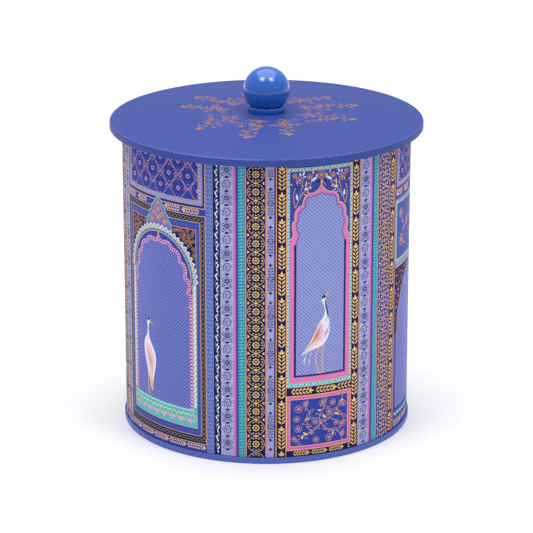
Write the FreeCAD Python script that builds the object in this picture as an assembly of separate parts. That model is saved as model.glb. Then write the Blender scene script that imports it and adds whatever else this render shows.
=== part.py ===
"""Round biscuit tin of printed tinplate, with a plug lid that lifts off by a ball knob.

Millimetres, +Z up, origin in the middle of the ring that the tin stands on. The printed
wall's weld is at the back, towards +Y.
"""

import FreeCAD, Part
import math
import os

# Driving dimensions
SHEET = 0.26            # tinplate thickness
GAP = 0.04              # room between two sheets that are rolled together
WALL_R = 76.0           # outside of the printed wall
LID_R = 82.5            # outside of the lid's skirt
LID_RIM_Z = 165.0       # top of the lid just inside its edge
DOME_RISE = 3.6         # the lid's middle above its edge
SKIRT_H = 4.0           # the lid's turned-down edge
SEAM_H = 3.2            # the seam ring at the foot
LIFT_GAP = 0.3          # room between pieces that part when the lid is lifted
KNOB_BALL_R = 12.25
KNOB_FOOT_R = 9.7
KNOB_FOOT_H = 3.1
PLUG_R = 74.9           # the collar under the lid that drops into the mouth
PLUG_H = 13.7           # from the lid's rim down to the collar's foot
GROOVE_DEPTH = 1.45     # the seal's groove in the collar
GROOVE_TOP = LID_RIM_Z - 5.6
GROOVE_LOW = LID_RIM_Z - 8.8
SCREW_R = 1.95          # M4 machine screw
HEAD_R = 3.9
HEAD_H = 2.3
WASHER_R = 4.6
WASHER_H = 0.8
INSERT_R = 3.3          # the threaded insert in the knob
INSERT_H = 9.5

# Radii of the sheets' middles in the rolled seam, from the inside out
STEP = SHEET + GAP
WALL_MID = WALL_R - SHEET / 2
PANEL_WALL = WALL_MID - STEP
PANEL_HOOK = WALL_MID + STEP
WALL_HOOK = WALL_MID + 2 * STEP
SEAM_OUTER = WALL_MID + 3 * STEP


def vec(r, z):
    return FreeCAD.Vector(r, 0, z)


def turned(edges):
    """A closed outline in the XZ plane, turned once round the Z axis."""
    face = Part.Face(Part.Wire(Part.__sortEdges__(edges)))
    solid = face.revolve(FreeCAD.Vector(0, 0, 0), FreeCAD.Vector(0, 0, 1), 360)
    return Part.makeSolid(solid) if solid.ShapeType == "Shell" else solid


def outline(points):
    """Straight edges through points (r, z), closed back to the first."""
    ends = points[1:] + points[:1]
    return [Part.LineSegment(vec(*a), vec(*b)).toShape() for a, b in zip(points, ends)]


def bend(before, corner, after, radius):
    """Where a sheet's middle line starts and ends a bend, the bend's centre and its side."""
    into = (corner - before).normalize()
    away = (after - corner).normalize()
    turn = into.getAngle(away)
    side = 1 if into.cross(away).y < 0 else -1
    reach = radius * math.tan(turn / 2)
    start = corner - into * reach
    left = FreeCAD.Vector(-into.z, 0, into.x)
    return start, corner + away * reach, start + left * (radius * side), side


def pressed_sheet(path, thickness=SHEET):
    """A sheet turned from its middle line: corners (r, z, bend radius), ends with no radius."""
    middles = [vec(r, z) for r, z, _ in path]
    sides = {1: [], -1: []}
    caps = {1: [], -1: []}
    last = middles[0]
    for index in range(1, len(path)):
        corner = middles[index]
        run = (corner - last).normalize()
        left = FreeCAD.Vector(-run.z, 0, run.x)
        curve = None
        if index < len(path) - 1:
            curve = bend(middles[index - 1], corner, middles[index + 1], path[index][2])
        end = curve[0] if curve else corner
        for way in (1, -1):
            shift = left * (way * thickness / 2)
            if index == 1:
                caps[way].append(last + shift)
            if (end - last).Length > 1e-4:
                sides[way].append(Part.LineSegment(last + shift, end + shift).toShape())
            if curve:
                sides[way].append(bent_edge(curve, path[index][2], corner, way, thickness))
            else:
                caps[way].append(end + shift)
        last = curve[1] if curve else end
    ends = [Part.LineSegment(caps[1][n], caps[-1][n]).toShape() for n in (0, 1)]
    return turned(sides[1] + sides[-1] + ends)


def bent_edge(curve, radius, corner, way, thickness):
    """One face of a bend, as an arc about the bend's own centre."""
    start, end, centre, side = curve
    face_radius = radius - way * side * thickness / 2
    places = []
    for point in (start, corner, end):
        places.append(centre + (point - centre).normalize() * face_radius)
    return Part.Arc(*places).toShape()


def body_wall():
    """The rolled wall: hooked into the seam at the foot, curled outwards at the mouth."""
    hook_r = STEP
    foot_z = SHEET + GAP + SHEET / 2
    curl_r = 1.2
    curl_top = mouth_z() - SHEET / 2
    curl_out = WALL_MID + 2 * curl_r
    wall = pressed_sheet([
        (WALL_HOOK, 2.6, 0),
        (WALL_HOOK, foot_z, hook_r),
        (WALL_MID, foot_z, hook_r),
        (WALL_MID, curl_top, curl_r),
        (curl_out, curl_top, curl_r),
        (curl_out, curl_top - 2 * curl_r, curl_r),
        (curl_out - 1.9, curl_top - 2 * curl_r, 0),
    ])
    return wall.fuse(welded_lap(SEAM_H + 0.5, curl_top - 2 * curl_r - 0.5)).removeSplitter()


def welded_lap(low, high):
    """The wall's outer edge, lapped over the other and welded, 3 mm wide at the back."""
    lap_width = 3.0
    angle = math.degrees(lap_width / WALL_R)
    section = outline([
        (WALL_R - SHEET / 2, low),
        (WALL_R + SHEET, low),
        (WALL_R + SHEET, high),
        (WALL_R - SHEET / 2, high),
    ])
    axis = FreeCAD.Vector(0, 0, 1)
    lap = Part.Face(Part.Wire(section)).revolve(FreeCAD.Vector(0, 0, 0), axis, angle)
    lap.rotate(FreeCAD.Vector(0, 0, 0), axis, 90 - angle / 2)
    return lap


def base_panel():
    """The pressed base. Its edge is rolled round the wall's hook and is what the tin stands on."""
    middle_z = 4.4
    step_z = 3.6
    foot_z = SHEET / 2
    seam_top = SEAM_H - SHEET / 2
    return pressed_sheet([
        (0, middle_z, 0),
        (62, middle_z, 1.5),
        (64, step_z, 1.5),
        (PANEL_WALL, step_z, 0.6),
        (PANEL_WALL, foot_z, 0.25),
        (SEAM_OUTER, foot_z, 0.25),
        (SEAM_OUTER, seam_top, STEP),
        (PANEL_HOOK, seam_top, STEP),
        (PANEL_HOOK, 0.95, 0),
    ])


def lid_middle_z():
    """Middle of the lid's sheet under the knob."""
    return LID_RIM_Z + DOME_RISE - SHEET / 2


def plug_flange_z():
    """Middle of the plug's flange, which lies against the inside of the lid."""
    return LID_RIM_Z - SHEET / 2 - STEP


def mouth_z():
    """Top of the wall's curl, just under the plug's flange."""
    return plug_flange_z() - SHEET / 2 - LIFT_GAP


def lid_panel():
    """The domed lid, with a rounded edge and a skirt hemmed round the plug's edge."""
    rim_z = LID_RIM_Z - SHEET / 2
    skirt = LID_R - SHEET / 2
    hem_z = LID_RIM_Z - SKIRT_H + SHEET / 2
    return pressed_sheet([
        (SCREW_R + 0.25, lid_middle_z(), 0),
        (40, lid_middle_z(), 640),
        (77, rim_z, 50),
        (skirt, rim_z, 1.1),
        (skirt, hem_z, STEP),
        (skirt - 2 * STEP, hem_z, STEP),
        (skirt - 2 * STEP, hem_z + 2.2, 0),
    ])


def lid_plug():
    """The collar that drops into the mouth, with a groove for the seal and a curled edge."""
    edge = LID_R - SHEET / 2 - STEP
    flange_z = plug_flange_z()
    plug = PLUG_R - SHEET / 2
    groove = plug - GROOVE_DEPTH
    foot_z = LID_RIM_Z - PLUG_H + SHEET / 2
    return pressed_sheet([
        (edge, LID_RIM_Z - SKIRT_H + 0.6, 0),
        (edge, flange_z, 0.8),
        (plug, flange_z, 0.8),
        (plug, GROOVE_TOP, 0.3),
        (groove, GROOVE_TOP, 0.3),
        (groove, GROOVE_LOW, 0.3),
        (plug, GROOVE_LOW, 0.3),
        (plug, foot_z, 0.8),
        (plug - 1.6, foot_z, 0.8),
        (plug - 1.6, foot_z + 2.0, 0),
    ])


def seal_ring():
    """The soft ring in the plug's groove, with two lips that reach for the wall."""
    inner = PLUG_R - GROOVE_DEPTH + LIFT_GAP
    low = GROOVE_LOW + SHEET / 2 + LIFT_GAP
    high = GROOVE_TOP - SHEET / 2 - LIFT_GAP
    root = PLUG_R - 0.1
    lip = WALL_R - SHEET - LIFT_GAP
    middle = (low + high) / 2
    return turned(outline([
        (inner, low),
        (root, low),
        (lip, low + 0.4),
        (lip, low + 0.6),
        (root, middle - 0.25),
        (root, middle + 0.25),
        (lip, high - 0.6),
        (lip, high - 0.4),
        (root, high),
        (inner, high),
    ]))


def knob():
    """The ball on its foot, one piece, bored from below for the threaded insert."""
    seat = LID_RIM_Z + DOME_RISE
    foot_top = seat + KNOB_FOOT_H
    sunk = math.sqrt(KNOB_BALL_R ** 2 - (KNOB_FOOT_R - 0.6) ** 2)
    ball = Part.makeSphere(KNOB_BALL_R, FreeCAD.Vector(0, 0, foot_top + sunk))
    foot = Part.makeCylinder(KNOB_FOOT_R, KNOB_FOOT_H, FreeCAD.Vector(0, 0, seat))
    rims = [edge for edge in foot.Edges if len(edge.Vertexes) == 1]
    foot = foot.makeFillet(0.35, rims)
    bore = Part.makeCylinder(INSERT_R + GAP, INSERT_H + 0.5, FreeCAD.Vector(0, 0, seat))
    above_foot = Part.makeBox(60, 60, 60, FreeCAD.Vector(-30, -30, foot_top - 0.5))
    return ball.common(above_foot).fuse(foot).removeSplitter().cut(bore)


def knob_insert():
    """The brass insert: a tapped sleeve with two grooves that key it into the ball."""
    low = LID_RIM_Z + DOME_RISE + 0.1
    bore = SCREW_R + 0.05
    groove = INSERT_R - 0.5
    marks = [0, 2.6, 3.4, 6.0, 6.8, INSERT_H]
    section = [(bore, low), (INSERT_R, low)]
    section += [(INSERT_R, low + marks[1]), (groove, low + marks[1])]
    section += [(groove, low + marks[2]), (INSERT_R, low + marks[2])]
    section += [(INSERT_R, low + marks[3]), (groove, low + marks[3])]
    section += [(groove, low + marks[4]), (INSERT_R, low + marks[4])]
    section += [(INSERT_R, low + marks[5] - 0.1), (bore, low + marks[5] - 0.1)]
    return turned(outline(section))


def knob_washer():
    """The flat washer between the screw's head and the inside of the lid."""
    top = lid_middle_z() - SHEET / 2
    return turned(outline([
        (SCREW_R + 0.15, top - WASHER_H),
        (WASHER_R, top - WASHER_H),
        (WASHER_R, top),
        (SCREW_R + 0.15, top),
    ]))


def knob_screw():
    """The pan-head screw, with a cross recess, that holds the knob from inside the lid."""
    head_top = lid_middle_z() - SHEET / 2 - WASHER_H
    head_low = head_top - HEAD_H
    tip = LID_RIM_Z + DOME_RISE + 7.5
    edges = [
        Part.LineSegment(vec(0, head_low), vec(HEAD_R - 1.4, head_low)).toShape(),
        Part.Arc(vec(HEAD_R - 1.4, head_low), vec(HEAD_R - 0.3, head_low + 0.5),
                 vec(HEAD_R, head_low + 1.5)).toShape(),
    ]
    rest = [(HEAD_R, head_low + 1.5), (HEAD_R, head_top), (SCREW_R, head_top)]
    rest += [(SCREW_R, tip - 0.6), (SCREW_R - 0.6, tip), (0, tip), (0, head_low)]
    edges += [Part.LineSegment(vec(*a), vec(*b)).toShape() for a, b in zip(rest, rest[1:])]
    screw = turned(edges)
    for length, width in ((3.8, 0.9), (0.9, 3.8)):
        corner = FreeCAD.Vector(-length / 2, -width / 2, head_low - 1)
        screw = screw.cut(Part.makeBox(length, width, 2.2, corner))
    return screw


SUB_PARTS = {
    "body_wall": body_wall,
    "base_panel": base_panel,
    "lid_panel": lid_panel,
    "lid_plug": lid_plug,
    "seal_ring": seal_ring,
    "knob": knob,
    "knob_insert": knob_insert,
    "knob_screw": knob_screw,
    "knob_washer": knob_washer,
}

os.makedirs("parts", exist_ok=True)
for name, make in SUB_PARTS.items():
    shape = make()
    solids = len(shape.Solids)
    print(f"{name}: {solids} solid, valid {shape.isValid()}, {shape.Volume:.1f} mm3")
    shape.exportStep(f"parts/{name}.step")
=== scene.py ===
import math
import random
import bmesh
import bpy
import numpy as np
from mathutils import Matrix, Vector


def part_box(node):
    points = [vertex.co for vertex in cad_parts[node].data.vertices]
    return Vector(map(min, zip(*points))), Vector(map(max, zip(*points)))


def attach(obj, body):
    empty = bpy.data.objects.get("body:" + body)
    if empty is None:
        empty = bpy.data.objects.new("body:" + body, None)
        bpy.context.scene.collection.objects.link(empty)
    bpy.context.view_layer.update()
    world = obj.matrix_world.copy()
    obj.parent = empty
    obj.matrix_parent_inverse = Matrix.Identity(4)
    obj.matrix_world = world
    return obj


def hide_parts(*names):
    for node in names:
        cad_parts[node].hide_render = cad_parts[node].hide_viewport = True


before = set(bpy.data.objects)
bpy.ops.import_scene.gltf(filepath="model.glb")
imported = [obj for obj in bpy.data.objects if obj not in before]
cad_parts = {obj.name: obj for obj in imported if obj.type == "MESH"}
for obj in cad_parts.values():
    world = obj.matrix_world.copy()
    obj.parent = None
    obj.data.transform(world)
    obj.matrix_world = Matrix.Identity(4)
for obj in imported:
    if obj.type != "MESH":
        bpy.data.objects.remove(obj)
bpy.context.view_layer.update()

# The body wall: tinplate rolled into a cylinder, the mouth curled outwards, the bottom edge
# flanged for the double seam. Blue enamel is rolled on the outside before it is rolled up,
# and the inside is left as bare, lightly brushed tinplate.
MM = 0.001
WALL_R = 76.0
ENAMEL_R = 75.87


def rgb(red, green, blue):
    """A colour from its three 0 to 255 values, as the shader wants it."""
    def linear(v):
        v /= 255
        return v / 12.92 if v < 0.04045 else ((v + 0.055) / 1.055) ** 2.4
    return (linear(red), linear(green), linear(blue), 1.0)


def new_material(name, roughness, metallic=0.0, specular=0.5):
    mat = bpy.data.materials.new(name)
    mat.use_nodes = True
    shader = mat.node_tree.nodes["Principled BSDF"]
    shader.inputs["Roughness"].default_value = roughness
    shader.inputs["Metallic"].default_value = metallic
    shader.inputs["Specular IOR Level"].default_value = specular
    return mat, mat.node_tree, shader


def node(tree, kind, **settings):
    made = tree.nodes.new(kind)
    for name, value in settings.items():
        if name in made.inputs:
            made.inputs[name].default_value = value
        else:
            setattr(made, name, value)
    return made


def math_node(tree, operation, first, second=None):
    made = tree.nodes.new("ShaderNodeMath")
    made.operation = operation
    for socket, value in zip(made.inputs, (first, second)):
        if value is None:
            continue
        if isinstance(value, (int, float)):
            socket.default_value = value
        else:
            tree.links.new(value, socket)
    return made.outputs[0]


def noise(tree, scale, detail=3.0, stretch=(1, 1, 1)):
    """Noise over the object's own coordinates."""
    place = tree.nodes.new("ShaderNodeTexCoord")
    spread = node(tree, "ShaderNodeMapping")
    spread.inputs["Scale"].default_value = stretch
    made = node(tree, "ShaderNodeTexNoise", Scale=scale, Detail=detail)
    tree.links.new(place.outputs["Object"], spread.inputs["Vector"])
    tree.links.new(spread.outputs["Vector"], made.inputs["Vector"])
    return made.outputs["Fac"]


def blend(tree, factor, first, second):
    """Mix two colours, each given as a colour or a socket."""
    made = node(tree, "ShaderNodeMix", data_type="RGBA")
    tree.links.new(factor, made.inputs[0])
    for socket, value in ((made.inputs[6], first), (made.inputs[7], second)):
        if isinstance(value, tuple):
            socket.default_value = value
        else:
            tree.links.new(value, socket)
    return made.outputs[2]


def shade(colour, amount):
    return tuple(min(1.0, c * amount) for c in colour[:3]) + (1.0,)


def fit_range(tree, value, low, high):
    made = node(tree, "ShaderNodeMapRange")
    made.inputs["To Min"].default_value = low
    made.inputs["To Max"].default_value = high
    tree.links.new(value, made.inputs["Value"])
    return made.outputs["Result"]


def bump(tree, shader, height, strength, distance):
    made = node(tree, "ShaderNodeBump", Strength=strength, Distance=distance)
    tree.links.new(height, made.inputs["Height"])
    tree.links.new(made.outputs["Normal"], shader.inputs["Normal"])


def object_axes(tree):
    place = tree.nodes.new("ShaderNodeTexCoord")
    split = tree.nodes.new("ShaderNodeSeparateXYZ")
    tree.links.new(place.outputs["Object"], split.inputs[0])
    return split.outputs


def distance_from_axis(tree):
    x, y, z = object_axes(tree)
    return math_node(tree, "SQRT", math_node(tree, "ADD", math_node(tree, "MULTIPLY", x, x),
                                             math_node(tree, "MULTIPLY", y, y)))


ENAMEL_BLUE = rgb(58, 76, 172)
TINPLATE = rgb(196, 198, 200)


def enamelled_wall():
    mat, tree, shader = new_material("enamelled_wall", 0.5, 0.0, 0.1)
    outside = math_node(tree, "GREATER_THAN", distance_from_axis(tree), ENAMEL_R * MM)
    mottle = noise(tree, 900, 2)
    brushed = noise(tree, 260, 3, (1, 1, 0.06))
    enamel = blend(tree, mottle, shade(ENAMEL_BLUE, 0.96), shade(ENAMEL_BLUE, 1.04))
    metal = blend(tree, brushed, shade(TINPLATE, 0.86), shade(TINPLATE, 1.05))
    tree.links.new(blend(tree, outside, metal, enamel), shader.inputs["Base Color"])
    bare = math_node(tree, "SUBTRACT", 1.0, outside)
    tree.links.new(math_node(tree, "MULTIPLY", bare, 0.92), shader.inputs["Metallic"])
    tree.links.new(fit_range(tree, brushed, 0.38, 0.54), shader.inputs["Roughness"])
    bump(tree, shader, noise(tree, 420, 2), 0.06, 0.0002)
    return mat


def give(node_name, mat):
    """Put a finish on a pressed part that keeps its own shape."""
    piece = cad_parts[node_name]
    piece.data.materials.clear()
    piece.data.materials.append(mat)


give("body_wall", enamelled_wall())

# The base panel: pressed tinplate, its edge rolled round the wall's flange into the plain
# double-seam ring that the tin stands on. Satin blue lacquer outside, bare tinplate inside.
SEAM_TOP = 3.25
LACQUER_BLUE = rgb(82, 102, 186)
LACQUER_WORN = rgb(128, 138, 190)


def roughen(tree, shader, scale, detail, low, high):
    """Roughness that wanders between two values."""
    tree.links.new(fit_range(tree, noise(tree, scale, detail), low, high), shader.inputs["Roughness"])


def seam_lacquer():
    mat, tree, shader = new_material("seam_lacquer", 0.34, 0.0, 0.3)
    z = object_axes(tree)["Z"]
    inside = math_node(tree, "GREATER_THAN", z, SEAM_TOP * MM)
    wear_and_highlight = math_node(tree, "MULTIPLY", math_node(tree, "LESS_THAN", z, 0.35 * MM),
                       noise(tree, 700, 4))
    lacquer = blend(tree, noise(tree, 600, 2), shade(LACQUER_BLUE, 0.97), shade(LACQUER_BLUE, 1.03))
    worn = blend(tree, wear_and_highlight, lacquer, LACQUER_WORN)
    tree.links.new(blend(tree, inside, worn, TINPLATE), shader.inputs["Base Color"])
    tree.links.new(math_node(tree, "MULTIPLY", inside, 0.9), shader.inputs["Metallic"])
    roughen(tree, shader, 500, 3, 0.30, 0.42)
    bump(tree, shader, noise(tree, 380, 3), 0.08, 0.0002)
    return mat


give("base_panel", seam_lacquer())

# The printed stripes: lithographed inks on the blue enamel, in flat grounds and fine gold and
# pink lines that run from the seam ring to under the lid. Each ink is a thin film of its own,
# drawn flat as arc length and height in millimetres, then rolled onto the wall.
FOOT_Z = 3.35
HEAD_Z = 160.9
FILM = 0.006
FIRST_FILM = 0.008
STEP = 0.008
COLUMN = 1.2
WHOLE_WALL = ((0.0, 0.0),)


def polygon(points):
    """One flat shape from its outline."""
    return (list(points), [tuple(range(len(points)))])


def rectangle(left, right, low, high):
    return polygon([(left, low), (right, low), (right, high), (left, high)])


def film(shapes):
    """A thin closed slab of ink from flat shapes, cut into columns so that it can bend."""
    bm = bmesh.new()
    for points, faces in shapes:
        verts = [bm.verts.new((u * MM, v * MM, 0)) for u, v in points]
        for face in faces:
            ring = [points[i] for i in face]
            area = sum(a[0] * b[1] - b[0] * a[1] for a, b in zip(ring, ring[1:] + ring[:1]))
            if abs(area) < 1e-7:
                continue
            order = face if area > 0 else face[::-1]
            bm.faces.new([verts[i] for i in order])
    loose = [v for v in bm.verts if not v.link_faces]
    bmesh.ops.delete(bm, geom=loose, context="VERTS")
    wide = [f for f in bm.faces
            if max(v.co.x for v in f.verts) - min(v.co.x for v in f.verts) > COLUMN * 1.3 * MM]
    if wide:
        low = min(v.co.x for f in wide for v in f.verts) / MM
        high = max(v.co.x for f in wide for v in f.verts) / MM
        for k in range(math.floor(low / COLUMN) + 1, math.ceil(high / COLUMN)):
            at = k * COLUMN * MM
            hit = [f for f in bm.faces if min(v.co.x for v in f.verts) < at - 1e-6
                   and max(v.co.x for v in f.verts) > at + 1e-6]
            if not hit:
                continue
            edges = list({e for f in hit for e in f.edges})
            verts = list({v for f in hit for v in f.verts})
            bmesh.ops.bisect_plane(bm, geom=verts + edges + hit, plane_co=(at, 0, 0),
                                   plane_no=(1, 0, 0), dist=1e-7)
    for face in bm.faces:
        if face.normal.z < 0:
            face.normal_flip()
    under = list(bm.faces)
    made = bmesh.ops.extrude_face_region(bm, geom=under, use_keep_orig=True)
    top = [g for g in made["geom"] if isinstance(g, bmesh.types.BMVert)]
    bmesh.ops.translate(bm, vec=(0, 0, FILM * MM), verts=top)
    bmesh.ops.reverse_faces(bm, faces=under)
    mesh = bpy.data.meshes.new("motif")
    bm.to_mesh(mesh)
    bm.free()
    return bpy.data.objects.new("motif", mesh)


def stamper(name, surface, kind, laid_at):
    """Geometry Nodes: stamp a motif at every station, then move each point to its laid_at."""
    tree = bpy.data.node_groups.new(name, "GeometryNodeTree")
    for title, socket in (("Geometry", "Geometry"), ("Stamp", "Object"), (surface, kind),
                          ("Film level", "Float"), ("Ink", "Material")):
        tree.interface.new_socket(title, in_out="INPUT", socket_type="NodeSocket" + socket)
    tree.interface.new_socket("Geometry", in_out="OUTPUT", socket_type="NodeSocketGeometry")
    link = tree.links.new
    given = tree.nodes.new("NodeGroupInput")
    points = tree.nodes.new("GeometryNodeMeshToPoints")
    link(given.outputs["Geometry"], points.inputs["Mesh"])
    motif = tree.nodes.new("GeometryNodeObjectInfo")
    link(given.outputs["Stamp"], motif.inputs["Object"])
    turn = node(tree, "GeometryNodeInputNamedAttribute", data_type="FLOAT", Name="turn")
    size = node(tree, "GeometryNodeInputNamedAttribute", data_type="FLOAT_VECTOR", Name="size")
    angles = tree.nodes.new("ShaderNodeCombineXYZ")
    link(turn.outputs["Attribute"], angles.inputs["Z"])
    stamp = tree.nodes.new("GeometryNodeInstanceOnPoints")
    link(points.outputs["Points"], stamp.inputs["Points"])
    link(motif.outputs["Geometry"], stamp.inputs["Instance"])
    link(angles.outputs[0], stamp.inputs["Rotation"])
    link(size.outputs["Attribute"], stamp.inputs["Scale"])
    real = tree.nodes.new("GeometryNodeRealizeInstances")
    link(stamp.outputs["Instances"], real.inputs["Geometry"])
    place = tree.nodes.new("GeometryNodeInputPosition")
    flat = tree.nodes.new("ShaderNodeSeparateXYZ")
    link(place.outputs[0], flat.inputs[0])
    lay = tree.nodes.new("GeometryNodeSetPosition")
    link(real.outputs["Geometry"], lay.inputs["Geometry"])
    link(laid_at(tree, given.outputs, flat.outputs), lay.inputs["Position"])
    paint = tree.nodes.new("GeometryNodeSetMaterial")
    link(lay.outputs["Geometry"], paint.inputs["Geometry"])
    link(given.outputs["Ink"], paint.inputs["Material"])
    ends = tree.nodes.new("NodeGroupOutput")
    link(paint.outputs["Geometry"], ends.inputs["Geometry"])
    return tree


def rolled(tree, given, flat):
    """Arc length and height, rolled round the wall."""
    angle = math_node(tree, "DIVIDE", flat["X"], given["Wall radius"])
    lifted = math_node(tree, "ADD", given["Wall radius"], given["Film level"])
    radius = math_node(tree, "ADD", lifted, flat["Z"])
    across = math_node(tree, "MULTIPLY", radius, math_node(tree, "SINE", angle))
    depth = math_node(tree, "MULTIPLY", radius, math_node(tree, "COSINE", angle))
    place = tree.nodes.new("ShaderNodeCombineXYZ")
    tree.links.new(across, place.inputs["X"])
    tree.links.new(math_node(tree, "MULTIPLY", depth, -1.0), place.inputs["Y"])
    tree.links.new(flat["Y"], place.inputs["Z"])
    return place.outputs[0]


WALL_STAMPER = stamper("stamp_and_roll", "Wall radius", "Float", rolled)


def stamped(tree, shapes, stations, settings):
    """Run a stamping tree once and keep the result as a plain mesh."""
    motif = film(shapes)
    stations = [tuple(s) + (0.0, 1.0)[len(s) - 2:] for s in stations]
    sheet = bpy.data.meshes.new("sheet")
    sheet.from_pydata([(s[0] * MM, s[1] * MM, 0) for s in stations], [], [])
    turn = sheet.attributes.new("turn", "FLOAT", "POINT")
    turn.data.foreach_set("value", [math.radians(s[2]) for s in stations])
    size = sheet.attributes.new("size", "FLOAT_VECTOR", "POINT")
    size.data.foreach_set("vector", [v for s in stations for v in (s[3], s[3], 1.0)])
    holder = bpy.data.objects.new("sheet", sheet)
    bpy.context.scene.collection.objects.link(holder)
    modifier = holder.modifiers.new("stamp", "NODES")
    modifier.node_group = tree
    values = dict(settings)
    values["Stamp"] = motif
    for item in tree.interface.items_tree:
        if item.in_out == "INPUT" and item.name in values:
            modifier[item.identifier] = values[item.name]
    graph = bpy.context.evaluated_depsgraph_get()
    mesh = bpy.data.meshes.new_from_object(holder.evaluated_get(graph))
    holder.modifiers.remove(modifier)
    for thing in (holder, motif):
        data = thing.data
        bpy.data.objects.remove(thing)
        bpy.data.meshes.remove(data)
    return mesh


def on_wall(shapes, level, colour, stations):
    return stamped(WALL_STAMPER, shapes, stations, {
        "Wall radius": WALL_R * MM,
        "Film level": (FIRST_FILM + STEP * level) * MM,
        "Ink": colour})


def joined(name, meshes, outward):
    """One piece from several inks, with the smooth normals of the metal under it."""
    bm = bmesh.new()
    inks = []
    for mesh in meshes:
        colour = mesh.materials[-1]
        if colour not in inks:
            inks.append(colour)
        start = len(bm.faces)
        bm.from_mesh(mesh)
        bm.faces.ensure_lookup_table()
        for face in bm.faces[start:]:
            face.material_index = inks.index(colour)
            face.smooth = True
        bpy.data.meshes.remove(mesh)
    whole = bpy.data.meshes.new(name)
    bm.to_mesh(whole)
    bm.free()
    for colour in inks:
        whole.materials.append(colour)
    co = np.empty(len(whole.vertices) * 3)
    whole.vertices.foreach_get("co", co)
    corner = np.empty(len(whole.loops), dtype=int)
    whole.loops.foreach_get("vertex_index", corner)
    normal = np.empty(len(whole.polygons) * 3)
    whole.polygons.foreach_get("normal", normal)
    total = np.empty(len(whole.polygons), dtype=int)
    whole.polygons.foreach_get("loop_total", total)
    out = outward(co.reshape(-1, 3)[corner])
    facing = np.repeat(normal.reshape(-1, 3), total, axis=0)
    sign = np.where((facing * out).sum(axis=1) < -0.3, -1.0, 1.0)
    whole.normals_split_custom_set((out * sign[:, None]).tolist())
    piece = bpy.data.objects.new(name, whole)
    bpy.context.scene.collection.objects.link(piece)
    return piece


def radial(points):
    flat = points * np.array([1.0, 1.0, 0.0])
    return flat / np.linalg.norm(flat, axis=1)[:, None]


def print_piece(name, *layers, panels=WHOLE_WALL):
    """Print layers as one piece: each is shapes, level, ink and, if it repeats, its stations."""
    meshes = []
    for shapes, level, colour, *own in layers:
        stations = own[0] if own else WHOLE_WALL
        spots = [(s[0] + p[0], s[1] + p[1]) + tuple(s[2:]) for p in panels for s in stations]
        meshes.append(on_wall(shapes, level, colour, spots))
    piece = joined(name, meshes, radial)
    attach(piece, "tin")


def ink(name, colour, roughness=0.52, spread=0.05):
    """A printing ink: even colour with a little mottle, on a satin varnish."""
    mat, tree, shader = new_material(name, roughness, 0.0, 0.08)
    mottle = blend(tree, noise(tree, 1400, 2), shade(colour, 1 - spread), shade(colour, 1 + spread))
    tree.links.new(mottle, shader.inputs["Base Color"])
    roughen(tree, shader, 500, 2, roughness - 0.04, roughness + 0.05)
    bump(tree, shader, noise(tree, 420, 2), 0.05, 0.0002)
    return mat


GOLD = ink("gold_ink", rgb(250, 202, 120), 0.46)
DULL_GOLD = ink("dull_gold_ink", rgb(222, 164, 112), 0.48)
NAVY = ink("navy_ink", rgb(24, 28, 84))
LAVENDER = ink("lavender_ink", rgb(164, 166, 220))
PERIWINKLE = ink("periwinkle_ink", rgb(116, 134, 205))
DEEP_BLUE = ink("deep_blue_ink", rgb(50, 68, 162))
PINK = ink("pink_ink", rgb(222, 112, 176))
TEAL = ink("teal_ink", rgb(88, 186, 192))
WHITE = ink("white_ink", rgb(236, 236, 248))
YELLOW = ink("yellow_ink", rgb(232, 236, 96))

WELD_GROUP = 226.8
GROUP_STARTS = (-31.8, 141.8, WELD_GROUP, 336.3)
FEATHER_X, SQUIGGLE_X, FLOWER_X, PINK_X = 0.0, 4.2, 8.0, 14.9
CHEVRON_X, MEDALLION_X, MOTIF_X, LINES_X, LAUREL_X, END_X = 16.1, 20.9, 31.9, 35.7, 37.4, 42.0
EXTRA_FLOWER_STARTS = (183.8, 268.8, 378.3)
RIGHT_GROUP = 46.4


def bars(spans):
    return [rectangle(a, b, FOOT_Z, HEAD_Z) for a, b in spans]


def in_groups(start, end):
    return [(g + start, g + end) for g in GROUP_STARTS]


navy_bars = (in_groups(SQUIGGLE_X, FLOWER_X) + in_groups(MEDALLION_X, MOTIF_X)
             + in_groups(LINES_X, END_X)
             + [(RIGHT_GROUP, RIGHT_GROUP + 4.6), (RIGHT_GROUP + 29.4, RIGHT_GROUP + 34.3)])
flower_starts = ([g + FLOWER_X for g in GROUP_STARTS if g != WELD_GROUP]
                 + list(EXTRA_FLOWER_STARTS) + [RIGHT_GROUP + 5.3])
lavender_bars = ([(x, x + 6.9) for x in flower_starts] + in_groups(MOTIF_X, LINES_X))
gold_lines = [(RIGHT_GROUP + 4.6, RIGHT_GROUP + 5.1), (RIGHT_GROUP + 18.2, RIGHT_GROUP + 18.7),
              (RIGHT_GROUP + 29.1, RIGHT_GROUP + 29.4), (RIGHT_GROUP + 33.9, RIGHT_GROUP + 34.3)]
for g in GROUP_STARTS:
    gold_lines += [(g + MEDALLION_X + 0.05, g + MEDALLION_X + 0.62),
                   (g + MOTIF_X - 0.62, g + MOTIF_X - 0.05),
                   (g + LINES_X + 0.75, g + LINES_X + 1.3), (g + END_X - 0.35, g + END_X)]
print_piece(
    "stripe_grounds",
    (bars(navy_bars), 0, NAVY),
    (bars(lavender_bars), 0, LAVENDER),
    (bars(in_groups(FEATHER_X, SQUIGGLE_X)), 0, PERIWINKLE),
    (bars(in_groups(CHEVRON_X + 1.3, MEDALLION_X - 0.3)
          + [(RIGHT_GROUP + 14.7, RIGHT_GROUP + 17.9)]), 0, TEAL))
print_piece(
    "stripe_lines",
    (bars(gold_lines), 1, DULL_GOLD),
    (bars(in_groups(PINK_X, CHEVRON_X) + [(RIGHT_GROUP + 12.2, RIGHT_GROUP + 13.4)]), 1, PINK))

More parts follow.
